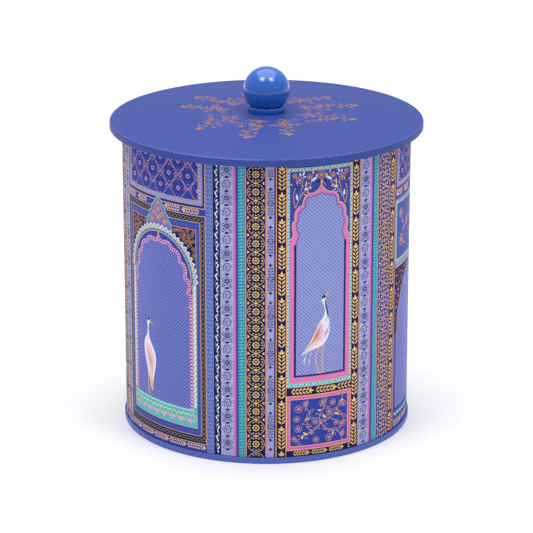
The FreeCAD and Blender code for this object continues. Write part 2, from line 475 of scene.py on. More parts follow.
# The laurel bands: a gold garland down each navy stripe, printed over the navy as one more ink.
# Every repeat is a three-leaf bud and five pairs of leaves under it, which make chevrons.
LAUREL_PITCH = 13.95
LAUREL_BUD_Z = 130.66


def towards(turn, reach=1.0):
    """A step of the given reach along a turn in degrees."""
    return reach * math.cos(math.radians(turn)), reach * math.sin(math.radians(turn))


def placed(points, x, y, turn, size=1.0):
    """Points that are scaled, turned and moved."""
    c, s = towards(turn, size)
    return [(x + u * c - v * s, y + u * s + v * c) for u, v in points]


def leaf(x, y, turn, length, width, sides=5, fat=0.5):
    """A leaf or petal whose stalk end is at x, y and whose tip points along the turn."""
    upper = []
    for i in range(1, sides):
        t = i / sides
        upper.append((t * length, width / 2 * math.sin(math.pi * t ** (math.log(0.5) / math.log(fat)))))
    lower = [(u, -v) for u, v in upper]
    return polygon(placed([(0, 0)] + lower + [(length, 0)] + upper[::-1], x, y, turn))


def clip(shapes, left, right, low, high):
    """The parts of the shapes inside a rectangle."""
    kept = []
    for points, faces in shapes:
        for face in faces:
            ring = [points[i] for i in face]
            for axis, limit, sign in ((0, left, 1), (0, right, -1), (1, low, 1), (1, high, -1)):
                trimmed = []
                for a, b in zip(ring, ring[1:] + ring[:1]):
                    da, db = (a[axis] - limit) * sign, (b[axis] - limit) * sign
                    if da >= 0:
                        trimmed.append(a)
                    if da * db < 0:
                        t = da / (da - db)
                        trimmed.append((a[0] + (b[0] - a[0]) * t, a[1] + (b[1] - a[1]) * t))
                ring = trimmed
                if len(ring) < 3:
                    break
            if len(ring) > 2:
                kept.append(polygon(ring))
    return kept


def foot_repeat(shapes, stations, pitch):
    """One more repeat under the lowest of a band's stations, cut off at the foot of the print."""
    low = min(s[1] for s in stations) - pitch
    return clip(shapes, -9, 9, FOOT_Z + 0.1 - low, 30), sorted({(s[0], low) for s in stations})


def laurel_chevron():
    return [leaf(0.12, -0.95, 51, 2.75, 0.86), leaf(-0.12, -0.95, 129, 2.75, 0.86)]


def laurel_bud():
    return [leaf(0, -1.2, 90, 2.95, 1.15), leaf(0.15, -1.15, 46, 2.1, 0.85),
            leaf(-0.15, -1.15, 134, 2.1, 0.85)]


def garland(station, chevrons=5, gap=2.0):
    """The chevrons that hang from one bud's station, along its own downward direction."""
    x, y, turn, size = station
    c, s = towards(turn - 90, size)
    return [(x + c * (2.15 + gap * k), y + s * (2.15 + gap * k), turn, size) for k in range(chevrons)]


def ladder(x, phase, pitch, low=FOOT_Z + 1.0, high=HEAD_Z):
    """Stations up one vertical band, kept to its own repeat."""
    first = math.ceil((low - phase) / pitch)
    last = math.floor((high - phase) / pitch)
    return [(x, phase + k * pitch) for k in range(first, last + 1)]


LAUREL_COLUMNS = [(g + LAUREL_X + 2.15, LAUREL_BUD_Z) for g in GROUP_STARTS]
LAUREL_COLUMNS += [(RIGHT_GROUP + 2.3, LAUREL_BUD_Z - 3.3), (RIGHT_GROUP + 31.7, LAUREL_BUD_Z - 6.0)]
buds = []
hanging = []
for x, phase in LAUREL_COLUMNS:
    buds += ladder(x, phase, LAUREL_PITCH, FOOT_Z + 1.5, HEAD_Z - 1.8)
    for k in range(5):
        hanging += ladder(x, phase - 2.15 - 2.05 * k, LAUREL_PITCH, FOOT_Z + 1.0, HEAD_Z - 1.2)
print_piece("laurel_bands", (laurel_bud(), 2, GOLD, buds), (laurel_chevron(), 2, GOLD, hanging))

# The medallion bands: touching gold rings on navy, twelve yellow dots and an eight-petalled
# rosette in each, and small gold triangles that fill the gaps between rings.
MEDALLION_PITCH = 9.05
MEDALLION_Z = 137.37
MEDALLION_MIDDLE = 26.4


def circle(x, y, radius, sides=10):
    return polygon([(x + radius * math.cos(math.tau * i / sides),
                     y + radius * math.sin(math.tau * i / sides)) for i in range(sides)])


def ribbon(first, second, closed=False):
    """A strip of quads between two lines that have the same number of points."""
    n = len(first)
    faces = []
    for i in range(n if closed else n - 1):
        j = (i + 1) % n
        faces.append((i, j, n + j, n + i))
    return (list(first) + list(second), faces)


def annulus(x, y, radius, width, sides=28):
    spokes = [(math.cos(math.tau * i / sides), math.sin(math.tau * i / sides))
              for i in range(sides)]
    outer = [(x + radius * c, y + radius * s) for c, s in spokes]
    inner = [(x + (radius - width) * c, y + (radius - width) * s) for c, s in spokes]
    return ribbon(inner, outer, True)


medallion_ring = [annulus(0, 0, 4.42, 0.34)]


def medallion_rosette():
    shapes = []
    for side in (1, -1):
        shapes.append(polygon([(4.3 * side, 3.55), (4.3 * side, 5.5), (3.15 * side, 4.525)]))
    for k in range(8):
        a = math.tau * k / 8
        shapes.append(circle(1.5 * math.cos(a), 1.5 * math.sin(a), 0.46, 7))
    shapes.append(annulus(0, 0, 0.62, 0.28, 9))
    shapes.append(polygon([(-0.8, 4.4), (0, 3.95), (0.8, 4.4), (0.8, 4.65), (0, 5.1), (-0.8, 4.65)]))
    return shapes


def medallion_dots():
    shapes = []
    for quarter in range(4):
        for k in (-1, 0, 1):
            a = math.tau * quarter / 4 + k * math.radians(25)
            shapes.append(circle(3.25 * math.cos(a), 3.25 * math.sin(a), 0.34, 6))
    return shapes


medallions = []
for g in GROUP_STARTS:
    medallions += ladder(g + MEDALLION_MIDDLE, MEDALLION_Z, MEDALLION_PITCH, FOOT_Z + 4.9, HEAD_Z - 4.2)


def ringed(shapes, level, colour):
    part, stations = foot_repeat(shapes, medallions, MEDALLION_PITCH)
    return part, level, colour, stations


print_piece(
    "medallion_bands",
    (medallion_ring, 2, DULL_GOLD, medallions),
    (medallion_rosette(), 3, GOLD, medallions),
    (medallion_dots(), 3, YELLOW, medallions),
    ringed(medallion_ring, 2, DULL_GOLD),
    ringed(medallion_dots(), 3, YELLOW))

# The flower bands: navy line flowers with five open petals on lavender, a solid leaf above and
# below each, a curled seed head between, and yellow berries at the sides.
FLOWER_PITCH = 14.66
FLOWER_Z = 127.82


def offset_line(points, amounts, closed=False):
    """The line moved sideways by the amount at each point, corners mitred."""
    n = len(points)
    moved = []
    for i, (x, y) in enumerate(points):
        before = points[i - 1] if (i or closed) else points[i]
        after = points[(i + 1) % n] if (i < n - 1 or closed) else points[i]
        ax, ay = x - before[0], y - before[1]
        bx, by = after[0] - x, after[1] - y
        la, lb = math.hypot(ax, ay) or 1.0, math.hypot(bx, by) or 1.0
        nx = -(ay / la if (ax or ay) else 0) - (by / lb if (bx or by) else 0)
        ny = (ax / la if (ax or ay) else 0) + (bx / lb if (bx or by) else 0)
        length = math.hypot(nx, ny) or 1.0
        side = -ay / la * nx + ax / la * ny if (ax or ay) else -by / lb * nx + bx / lb * ny
        scale = min(1.0 / max(side / length, 0.35), 2.2)
        amount = amounts[i] if isinstance(amounts, (list, tuple)) else amounts
        moved.append((x + nx / length * amount * scale, y + ny / length * amount * scale))
    return moved


def stroke(points, width, closed=False, taper=False):
    """A pen line along the points; taper brings both ends to a point."""
    n = len(points)
    if taper:
        widths = [max(width * math.sin(math.pi * (i + 0.35) / (n - 0.3)), width * 0.22) / 2
                  for i in range(n)]
    else:
        widths = [width / 2] * n
    left = offset_line(points, widths, closed)
    right = offset_line(points, [-w for w in widths], closed)
    return ribbon(right, left, closed)


def curve(points, steps=5, closed=False):
    """A smooth line through the points."""
    n = len(points)
    line = []
    for i in range(n if closed else n - 1):
        if closed:
            p = [points[(i + k) % n] for k in (-1, 0, 1, 2)]
        else:
            p = [points[min(max(i + k, 0), n - 1)] for k in (-1, 0, 1, 2)]
        for k in range(steps):
            t = k / steps
            line.append(tuple(
                0.5 * (2 * b + (c - a) * t + (2 * a - 5 * b + 4 * c - d) * t * t
                       + (3 * b - a - 3 * c + d) * t ** 3)
                for a, b, c, d in zip(*p)))
    if not closed:
        line.append(points[-1])
    return line


def pen(points, width, steps=4, taper=False):
    """A pen line drawn smoothly through the points."""
    return stroke(curve(points, steps), width, taper=taper)


def line_flower():
    shapes = []
    for k in range(5):
        turn = 90 + 72 * k
        ring = [(0.5, 0), (1.4, 0.62), (2.3, 0.66), (2.7, 0), (2.3, -0.66), (1.4, -0.62)]
        shapes.append(stroke(curve(placed(ring, 0, 0, turn), 2, True), 0.27, True))
        shapes.append(leaf(*towards(turn, 0.2), turn, 1.5, 0.5, 4))
    for side in (1, -1):
        shapes.append(pen([(1.9 * side, -1.9), (2.6 * side, -2.8), (1.2 * side, -3.2)], 0.24, 3))
    return shapes


flower_leaf = [leaf(-1.3, -0.25, 11, 2.65, 1.2, 6)]


def line_seed_head():
    shapes = [pen([(-1.5, -2.1), (-1.9, -0.5), (-1.3, 1.3), (0.2, 2.1), (1.6, 1.1), (1.7, -0.7),
                   (0.6, -1.8), (-0.5, -1.3), (-0.6, 0.0), (0.3, 0.6)], 0.3, 3)]
    for k in range(7):
        a = math.radians(20 + 50 * k)
        shapes.append(circle(0.1 + 2.3 * math.cos(a), 2.3 * math.sin(a), 0.26, 5))
    for x, y in ((0.5, -0.4), (-0.9, 0.4), (0.9, 0.7), (-0.2, -1.4)):
        shapes.append(circle(x, y, 0.22, 5))
    return shapes


berries = [circle(x, y, 0.3, 5) for x, y in ((2.75, -2.3), (2.2, -1.6), (2.75, -1.0), (-2.7, -2.7),
                                            (2.75, 2.5), (-2.7, 2.0), (-2.15, 2.7), (-2.75, 3.3))]
open_flowers, seed_heads, leaves_between = [], [], []
for k, x in enumerate(flower_starts):
    phase = FLOWER_Z + (0, 4.2, 8.8, 2.6, 6.3, 11.0, 5.1)[k % 7]
    open_flowers += ladder(x + 3.5, phase, FLOWER_PITCH, FOOT_Z + 3.0, HEAD_Z - 2.6)
    seed_heads += ladder(x + 3.5, phase + FLOWER_PITCH / 2, FLOWER_PITCH, FOOT_Z + 3.4, HEAD_Z - 3.4)
    leaves_between += ladder(x + 3.5, phase + FLOWER_PITCH / 4, FLOWER_PITCH / 2, FOOT_Z + 0.6,
                             HEAD_Z - 0.4)
print_piece(
    "flower_bands",
    (line_flower(), 2, NAVY, open_flowers),
    (line_seed_head(), 2, NAVY, seed_heads),
    (flower_leaf, 2, NAVY, leaves_between),
    (berries, 2, YELLOW, seed_heads))

# The feather, twisted-vine and chevron bands: blue scallops on periwinkle, a white vine
# twisting down a navy stripe, and a blue herringbone cut into teal.
FEATHER_PITCH = 2.3
VINE_PITCH = 10.98
CHEVRON_PITCH = 1.75
BAND_Z = 60.0
VINE_Z = 61.0


def feather():
    shapes = [pen([(-1.9, 0.95), (-1.0, 0.05), (-0.2, 0.75), (0.6, 0.0), (1.9, 0.85)], 0.42, 3)]
    shapes.append(leaf(-0.9, -0.75, 90, 1.1, 0.6, 4))
    shapes.append(leaf(1.1, -0.8, 80, 1.1, 0.55, 4))
    return shapes


def twisted_vine():
    wave = []
    for k in range(11):
        y = VINE_PITCH * k / 10
        wave.append((0.95 * math.sin(math.tau * k / 10), y))
    white = [stroke(wave[:3], 0.62), stroke(wave[5:8], 0.72, taper=True),
             leaf(-0.4, 2.0, 62, 1.9, 0.8, 4), leaf(0.5, 4.4, 115, 1.9, 0.75, 4),
             leaf(-0.2, 7.1, 70, 1.7, 0.7, 4), leaf(0.6, 9.2, 120, 1.8, 0.7, 4)]
    grey = [stroke([(-x, y) for x, y in wave], 0.3)]
    return white, grey


def herringbone():
    return [stroke([(-1.85, 0.75), (-1.0, -0.15), (-0.15, 0.75)], 0.34),
            leaf(0.0, 0.1, 30, 1.7, 0.62, 4), circle(-1.0, 0.55, 0.2, 5)]


feathers, vines, chevrons = [], [], []
for g in GROUP_STARTS:
    feathers += ladder(g + 2.1, BAND_Z, FEATHER_PITCH, FOOT_Z + 0.6, HEAD_Z - 1.2)
    vines += ladder(g + 6.1, VINE_Z, VINE_PITCH, FOOT_Z + 0.2, HEAD_Z - 11.2)
    chevrons += ladder(g + 19.0, BAND_Z, CHEVRON_PITCH, FOOT_Z + 0.6, HEAD_Z - 1)
chevrons += ladder(RIGHT_GROUP + 16.0, BAND_Z, CHEVRON_PITCH, FOOT_Z + 0.6, HEAD_Z - 1)
white_vine, grey_vine = twisted_vine()
white_foot, vine_feet = foot_repeat(white_vine, vines, VINE_PITCH)
GREY_BLUE = ink("grey_blue_ink", rgb(122, 128, 168))
FEATHER_BLUE = ink("feather_blue_ink", rgb(80, 98, 184))
print_piece("feather_bands", (feather(), 2, FEATHER_BLUE, feathers))
print_piece(
    "vine_bands",
    (grey_vine, 2, GREY_BLUE, vines),
    (white_vine, 3, WHITE, vines),
    (white_foot, 3, WHITE, vine_feet))
print_piece("chevron_bands", (herringbone(), 2, DEEP_BLUE, chevrons))

# The rosette bands: small navy print on the narrow lavender stripes. Each repeat is a daisy of
# dots, rows of checks above and below it, and a pair of tulips that point away from it.
ROSETTE_PITCH = 20.0
ROSETTE_Z = 140.42


def daisy():
    shapes = [stroke([(0.9 * math.cos(math.tau * k / 10), 1.05 * math.sin(math.tau * k / 10))
                      for k in range(10)], 0.36, True)]
    shapes.append(circle(0, 0, 0.32, 6))
    for k in range(8):
        a = math.tau * k / 8
        shapes.append(circle(1.5 * math.cos(a), 1.7 * math.sin(a), 0.42, 6))
    return shapes


def checks():
    shapes = []
    for row, y in enumerate((-1.65, -0.85, 0.0, 0.85, 1.65)):
        for x in ((-1.15, 0, 1.15) if row % 2 == 0 else (-0.6, 0.6)):
            shapes.append(rectangle(x - 0.38, x + 0.38, y - 0.26, y + 0.26))
    return shapes


def tulip():
    return [leaf(0, -0.5, 90, 1.7, 0.9, 4), leaf(0.1, -0.4, 38, 1.3, 0.55, 4),
            leaf(-0.1, -0.4, 142, 1.3, 0.55, 4), leaf(0, -1.1, 90, 0.8, 0.4, 4)]


daisies, check_rows, tulips = [], [], []
for g in GROUP_STARTS:
    x = g + MOTIF_X + 1.95
    daisies += ladder(x, ROSETTE_Z, ROSETTE_PITCH, FOOT_Z + 2.0, HEAD_Z - 1.8)
    for side in (1, -1):
        check_rows += ladder(x, ROSETTE_Z + 4.2 * side, ROSETTE_PITCH, FOOT_Z + 2.2, HEAD_Z - 2.0)
        tulips += [s + (0 if side > 0 else 180,)
                   for s in ladder(x, ROSETTE_Z + 7.3 * side, ROSETTE_PITCH, FOOT_Z + 2, HEAD_Z - 1.6)]
print_piece(
    "rosette_bands",
    (daisy(), 2, NAVY, daisies),
    (checks(), 2, NAVY, check_rows),
    (tulip(), 2, NAVY, tulips))

# The vine stripe on the right-hand group: a gold stem that waves up the blue enamel, with
# leaves at each turn and a yellow berry in each hollow.
SCROLL_PITCH = 13.1


def scroll_vine():
    shapes = []
    for side in (1, -1):
        wave = [(2.9 * side * math.sin(math.tau * k / 16), SCROLL_PITCH * k / 16) for k in range(17)]
        shapes.append(stroke(wave, 0.36))
        for y in (3.3, 9.9):
            turn = 180 if side > 0 else 0
            shapes.append(pen([(4.6 * side, y - 2.4), (3.6 * side, y - 0.6), (4.4 * side, y + 1.0)],
                              0.3, 3))
            shapes.append(leaf(4.5 * side, y + 0.9, turn - 60 * side, 1.9, 0.8, 4))
            shapes.append(leaf(4.5 * side, y - 2.2, turn + 60 * side, 1.9, 0.8, 4))
    for y in (0.0, 6.6):
        for turn in range(30, 390, 60):
            dx, dy = towards(turn, 0.5)
            shapes.append(leaf(dx, y + dy, turn, 1.35, 0.8, 4))
    for y in (3.3, 9.9):
        shapes.append(annulus(0, y, 1.15, 0.34, 9))
    return shapes


SCROLL_BLUE = ink("scroll_blue_ink", rgb(36, 56, 150))
scrolls = ladder(RIGHT_GROUP + 24.0, FOOT_Z + 0.2, SCROLL_PITCH, FOOT_Z, HEAD_Z - 13.0)
scroll_berries = [circle(x * side, y, 0.4, 6) for side in (1, -1) for x, y in (
    (1.9, 3.3), (1.7, 9.9), (2.0, 0.9), (2.0, 5.7), (2.0, 7.5), (2.0, 12.3), (3.6, 4.8), (3.6, 8.4),
    (3.7, 1.2), (3.7, 11.6))]
scroll_berries += [circle(0, 3.3, 0.42, 6), circle(0, 9.9, 0.42, 6)]
print_piece(
    "scroll_band",
    ([rectangle(RIGHT_GROUP + 18.9, RIGHT_GROUP + 28.9, FOOT_Z, HEAD_Z)], 0, SCROLL_BLUE),
    (scroll_vine(), 1, DULL_GOLD, scrolls),
    (scroll_berries, 2, YELLOW, scrolls))

# The narrow panels, one at the front and one at the back: a teal beaded border round a pink
# cusped arch, with a trellis window behind. Here are the border, the arch and the window.
NARROW_PANELS = [(28.3, 0.0), (208.75, 0.0)]
ARCH_OUTER = [[(0, 149.6), (1.0, 147.4), (2.6, 145.7), (4.7, 144.6)],
              [(4.7, 144.6), (6.3, 144.7), (8.3, 143.4), (9.6, 141.2), (9.8, 138.6)],
              [(9.8, 138.6), (11.4, 138.2), (13.1, 136.5), (13.9, 134.0), (13.9, 130.9)],
              [(13.9, 130.9), (14.9, 130.0), (15.2, 127.8), (14.9, 125.4), (14.7, 123.6),
               (15.3, 121.9), (16.7, 120.7)]]
ARCH_INNER = [[(0, 144.7), (1.8, 143.8), (3.4, 143.4), (4.8, 143.1)],
              [(4.8, 143.1), (6.7, 142.7), (8.1, 141.4), (8.6, 139.6), (8.4, 137.5)],
              [(8.4, 137.5), (10.2, 136.8), (11.6, 135.1), (12.2, 133.0), (12.0, 130.9)],
              [(12.0, 130.9), (12.8, 129.8), (13.1, 128.1), (12.6, 125.8), (11.5, 123.4)],
              [(11.5, 123.4), (12.4, 121.2), (12.9, 119.9)],
              [(12.9, 119.9), (13.0, 118.6), (14.1, 117.5), (14.3, 115.0)]]
WINDOW_HALF = 14.3
WINDOW_LOW = 46.9
BORDER_IN = 16.6
BORDER_OUT = 18.05
BORDER_LOW = 41.6
BORDER_HIGH = 158.1
FALLING_PITCH = 1.15
PALE_TEAL = ink("pale_teal_ink", rgb(120, 206, 214))
DARK_TEAL = ink("dark_teal_ink", rgb(48, 140, 146))
SOFT_PINK = ink("soft_pink_ink", rgb(224, 128, 188), 0.52, 0.08)


def mirrored(shapes):
    """The shapes and their mirror image across the panel's middle."""
    return list(shapes) + [([(-x, y) for x, y in points], faces) for points, faces in shapes]


def chain(segments):
    """One smooth line from curves that meet in sharp points."""
    line = []
    for part in segments:
        line += curve(part, 3)[:-1]
    return line + [segments[-1][-1]]


def box_ring(left, right, low, high, side, bottom, top):
    """A rectangular frame from four bars."""
    return [rectangle(left, left + side, low, high), rectangle(right - side, right, low, high),
            rectangle(left + side, right - side, low, low + bottom),
            rectangle(left + side, right - side, high - top, high)]


def thin_frame(half, low, high, width):
    """A frame of one width all round, even about the panel's middle."""
    return box_ring(-half, half, low, high, width, width, width)


def along(points, pitch, start=0.0):
    """Stations at an even pitch along a line, each turned to follow it."""
    stations = []
    reach = start
    walked = 0.0
    for a, b in zip(points, points[1:]):
        length = math.hypot(b[0] - a[0], b[1] - a[1])
        turn = math.degrees(math.atan2(b[1] - a[1], b[0] - a[0]))
        while length > 0 and reach <= walked + length:
            t = (reach - walked) / length
            stations.append((a[0] + (b[0] - a[0]) * t, a[1] + (b[1] - a[1]) * t, turn))
            reach += pitch
        walked += length
    return stations


def wall_arc(tree):
    """Arc length round the wall and height, both in millimetres."""
    x, y, z = object_axes(tree)
    angle = math_node(tree, "ARCTAN2", x, math_node(tree, "MULTIPLY", y, -1.0))
    return math_node(tree, "MULTIPLY", angle, WALL_R), math_node(tree, "DIVIDE", z, MM)


def crossed_ink(name, ground, line, pitch, width):
    """Fine lines over a ground, crossed both ways on the slant."""
    mat, tree, shader = new_material(name, 0.52, 0.0, 0.08)
    arc, height = wall_arc(tree)
    rising = math_node(tree, "DIVIDE", math_node(tree, "SUBTRACT", height, arc), pitch)
    falling = math_node(tree, "DIVIDE", math_node(tree, "ADD", arc, height), pitch * FALLING_PITCH)
    one = math_node(tree, "LESS_THAN", math_node(tree, "PINGPONG", rising, 0.5), width)
    two = math_node(tree, "LESS_THAN", math_node(tree, "PINGPONG", falling, 0.5), width)
    mask = math_node(tree, "MAXIMUM", one, two)
    tree.links.new(blend(tree, mask, ground, line), shader.inputs["Base Color"])
    roughen(tree, shader, 500, 2, 0.36, 0.45)
    bump(tree, shader, noise(tree, 420, 2), 0.05, 0.0002)
    return mat


TRELLIS = crossed_ink("trellis_ink", rgb(104, 130, 202), rgb(166, 166, 220), 1.85, 0.15)
outer_line = chain(ARCH_OUTER)
inner_line = chain(ARCH_INNER)
arch_half = polygon(outer_line + [(BORDER_IN, 43.8), (0, 43.8), (0, WINDOW_LOW),
                                  (WINDOW_HALF, WINDOW_LOW)] + inner_line[::-1])
window_half = polygon([(0, WINDOW_LOW), (WINDOW_HALF, WINDOW_LOW)] + inner_line[::-1])
bead_line = [(-17.33, 42.7), (-17.33, 157.4), (17.33, 157.4), (17.33, 42.7), (-17.33, 42.7)]
print_piece(
    "narrow_border",
    (box_ring(-BORDER_OUT, BORDER_OUT, BORDER_LOW, BORDER_HIGH, 1.45, 2.2, 1.5), 1, PALE_TEAL),
    (thin_frame(18.2, 41.3, 158.4, 0.35) + thin_frame(16.75, 43.65, 156.7, 0.25), 2, DULL_GOLD),
    ([circle(0, 0, 0.33, 6)], 2, WHITE, along(bead_line, 1.7)),
    ([leaf(-0.45, 0, 0, 0.9, 0.8, 4)], 3, DARK_TEAL, along(bead_line, 3.4, 0.85)),
    panels=NARROW_PANELS)
print_piece("narrow_window", (mirrored([window_half]), 0, TRELLIS), panels=NARROW_PANELS)
WINDOW_NAVY = ink("window_navy_ink", rgb(26, 44, 108))
print_piece(
    "narrow_arch",
    (mirrored([arch_half]), 1, SOFT_PINK),
    (mirrored([stroke(offset_line(outer_line, -0.38), 0.42),
               stroke(offset_line(inner_line, 0.42), 0.42),
               rectangle(16.15, BORDER_IN, 43.8, 120.9), rectangle(14.25, 14.6, WINDOW_LOW, 115.0),
               rectangle(0, 14.6, 46.4, WINDOW_LOW)]), 2, PINK),
    (mirrored([stroke(outer_line, 0.42), stroke([(0, 151.2), (0.25, 150), (0, 149.2)], 0.5)]), 2,
     GOLD),
    (mirrored([stroke(inner_line, 0.34)]), 3, DEEP_BLUE),
    (mirrored([rectangle(13.1, 14.25, WINDOW_LOW, 118.4), rectangle(0, 13.1, WINDOW_LOW, 47.9)]), 2,
     WINDOW_NAVY),
    panels=NARROW_PANELS)

# The narrow panels' sprays: gold line flowers, white and navy leaves in the two corners over
# the arch, and a gold flowering branch in the pink-framed box below.


def line_rose(x, y, size, petals=5, pen_width=0.26):
    """A small open flower drawn in pen lines."""
    shapes = []
    for k in range(petals):
        ring = [(0.25, 0.0), (0.62, 0.42), (1.0, 0.36), (1.12, 0.0), (1.0, -0.36), (0.62, -0.42)]
        petal = curve(placed(ring, x, y, 360 * k / petals + 20, size), 2, True)
        shapes.append(stroke(petal, pen_width, True))
    shapes.append(circle(x, y, size * 0.26, 6))
    return shapes


def leaves(sides, *rows):
    """Leaves from rows of x, y, turn, length and width."""
    return [leaf(*row, sides) for row in rows]


def corner_gold():
    shapes = [pen([(-13.8, 137.6), (-14.6, 142.0), (-14.3, 146.4), (-12.7, 149.6)], 0.36),
              pen([(-13.6, 137.6), (-11.7, 142.2), (-8.8, 146.2), (-6.0, 148.8), (-5.2, 151.0)],
                  0.36), pen([(-11.9, 141.6), (-11.2, 143.4), (-11.4, 145.2)], 0.28),
              pen([(-10.2, 144.6), (-10.8, 146.8), (-10.0, 148.2)], 0.28)]
    shapes += line_rose(-11.5, 151.9, 1.75)
    shapes += line_rose(-14.0, 154.4, 1.1, 5, 0.24)
    shapes += line_rose(-6.3, 153.4, 1.35, 4)
    return shapes


def corner_solid():
    return leaves(
        5, (-8.4, 147.6, 84, 4.0, 0.95), (-4.4, 154.6, 100, 2.0, 0.95), (-3.2, 153.2, 60, 1.7, 0.85),
        (-5.2, 147.3, 150, 1.9, 0.9), (-6.6, 145.2, 160, 1.5, 0.85), (-8.2, 144.0, 150, 1.3, 0.8),
        (-9.9, 148.2, 100, 1.5, 0.7), (-15.2, 149.4, 140, 1.5, 0.7), (-13.2, 150.2, 60, 1.3, 0.7),
        (-7.4, 149.9, 20, 1.2, 0.7), (-9.6, 155.5, 70, 1.2, 0.6))


def corner_white():
    return leaves(
        6, (-5.9, 150.9, 32, 4.4, 1.45), (-9.4, 147.2, -4, 2.8, 1.2), (-12.7, 141.4, 96, 3.6, 1.15),
        (-11.0, 153.9, 104, 2.0, 0.95), (-10.2, 154.0, 62, 2.8, 0.95), (-9.8, 153.2, 24, 1.8, 0.8))


corner_navy = [leaf(-2.9, 149.9, 38, 2.6, 0.95, 5), leaf(-14.2, 148.4, 18, 1.8, 0.85, 5)]
middle_gold = line_rose(0, 154.0, 1.9, 6) + [pen([(0.1, 152.0), (1.1, 150.2), (2.4, 148.4)], 0.34)]


def leaf_line(x, y, turn, length, width):
    """A leaf drawn as an outline."""
    ring = [(0, 0), (length * 0.4, width / 2), (length, 0), (length * 0.4, -width / 2)]
    return stroke(curve(placed(ring, x, y, turn), 2, True), 0.2, True)


def box_branch():
    """The flowering branch that fills the lower box."""
    main = curve([(-13.6, 10.8), (-9.4, 14.2), (-4.6, 16.4), (0.6, 20.4), (5.4, 22.4), (9.4, 26.4),
                  (12.8, 32.4)], 5)
    side = curve([(-4.6, 16.4), (-7.2, 20.6), (-5.6, 25.6), (-8.4, 31.6)], 5)
    low = curve([(0.6, 20.4), (4.2, 16.6), (8.8, 15.4), (13.4, 11.4)], 5)
    middle = curve([(0.6, 20.4), (-0.4, 24.4), (2.2, 28.6), (1.2, 32.6)], 4)
    far = curve([(9.4, 26.4), (12.6, 24.2), (13.8, 19.4)], 4)
    shapes = [stroke(line, 0.24) for line in (main, side, low, middle, far)]
    for line in (main, side, low, middle, far):
        for k in range(2, len(line), 3):
            x, y = line[k]
            turn = 35 + 131 * k % 360
            shapes.append(leaf_line(x, y, turn, 3.1, 1.3))
            dx, dy = towards(turn + 20, 2.2)
            shapes.append(stroke([(x, y), (x - dx, y - dy)], 0.2))
            shapes.append(circle(x - dx, y - dy, 0.4, 5))
    for x, y, size in ((-11.6, 29.4, 1.9), (-8.0, 32.0, 1.3), (-12.6, 23.8, 1.5), (1.6, 31.6, 1.8),
                       (7.2, 31.0, 1.5), (13.6, 29.2, 1.5), (13.0, 18.0, 1.7), (5.2, 11.8, 1.8),
                       (-2.2, 11.6, 1.5), (-11.8, 18.4, 1.7), (-2.6, 21.6, 1.4), (9.4, 19.6, 1.4),
                       (12.9, 12.6, 1.4), (-14.0, 13.0, 1.1), (5.2, 26.2, 1.5)):
        shapes += line_rose(x, y, size, 5, 0.2)
    return shapes


def box_solid():
    """The few solid leaves and buds that catch the eye on the branch."""
    return leaves(
        5, (-6.6, 14.6, 150, 3.2, 1.3), (3.4, 22.6, 130, 3.0, 1.2), (8.2, 24.4, 350, 2.8, 1.1),
        (-6.0, 24.0, 200, 2.6, 1.0), (7.6, 15.4, 260, 2.8, 1.1), (0.8, 27.4, 170, 2.4, 1.0),
        (-9.8, 12.4, 80, 2.6, 1.0), (11.6, 30.4, 30, 2.4, 1.0))


BOX_BLUE = ink("box_blue_ink", rgb(50, 70, 168))
narrow_buds = [(x, 39.1, -90, 0.94) for x in (8.1, -5.0)]
narrow_buds += [(x, 5.0, -90, 0.7) for x in (-6.6, 3.2, 13.0)]
narrow_hanging = [s for bud in narrow_buds for s in garland(bud)]
narrow_hanging += [(17.0 - 2.1 * k, 39.1, -90, 0.94) for k in range(4)]
narrow_hanging += [(17.2, 5.0, -90, 0.7)]
print_piece(
    "corner_sprays",
    (mirrored(corner_gold()) + middle_gold, 1, DULL_GOLD),
    (mirrored(corner_solid()), 2, GOLD),
    (mirrored(corner_white()), 2, WHITE),
    (mirrored(corner_navy), 2, NAVY),
    panels=NARROW_PANELS)
print_piece(
    "flower_box",
    ([rectangle(-BORDER_OUT, BORDER_OUT, 36.7, 41.3), rectangle(-18.2, 18.2, FOOT_Z, 6.6)], 0,
     NAVY),
    ([rectangle(-16.2, 16.2, 8.9, 34.7)], 0, BOX_BLUE),
    (box_ring(-BORDER_OUT, BORDER_OUT, 6.95, 36.4, 1.9, 1.9, 1.7), 1, PINK),
    (thin_frame(18.2, 6.65, 36.75, 0.35) + thin_frame(16.3, 8.75, 34.8, 0.25), 2, GOLD),
    (box_branch(), 1, DULL_GOLD),
    (box_solid(), 2, GOLD),
    (laurel_bud(), 2, GOLD, narrow_buds),
    (laurel_chevron(), 2, GOLD, narrow_hanging),
    panels=NARROW_PANELS)

# The wading birds: one stands in each narrow window and looks up, white and pale pink with a
# dark cap, a tan beak and thin legs. A plain long-legged bird, drawn for this tin.
PALE_PINK = ink("pale_pink_ink", rgb(240, 206, 218))
BLUSH = ink("blush_ink", rgb(232, 170, 188))
TAN = ink("tan_ink", rgb(240, 184, 122))
SLATE = ink("slate_ink", rgb(52, 54, 100))
standing_body = curve([(1.6, 89.9), (0.5, 89.0), (0.6, 87.2), (1.6, 85.0), (2.3, 82.2), (2.1, 79.8),
                       (0.9, 77.6), (-1.4, 74.6), (-3.8, 70.6), (-6.0, 66.0), (-7.8, 62.2),
                       (-9.6, 59.4), (-6.6, 60.4), (-3.4, 61.6), (-0.4, 62.4), (2.2, 64.2),
                       (4.2, 67.4), (5.0, 71.6), (4.8, 75.8), (4.1, 79.8), (3.3, 83.6), (2.7, 86.4),
                       (2.9, 88.4)], 3, True)
standing_wing = curve([(0.4, 75.4), (-2.2, 72.2), (-4.7, 67.4), (-6.9, 62.8), (-9.4, 59.8),
                       (-5.6, 61.6), (-2.8, 63.2), (0.2, 65.2), (1.9, 68.6), (1.9, 72.4)], 3, True)
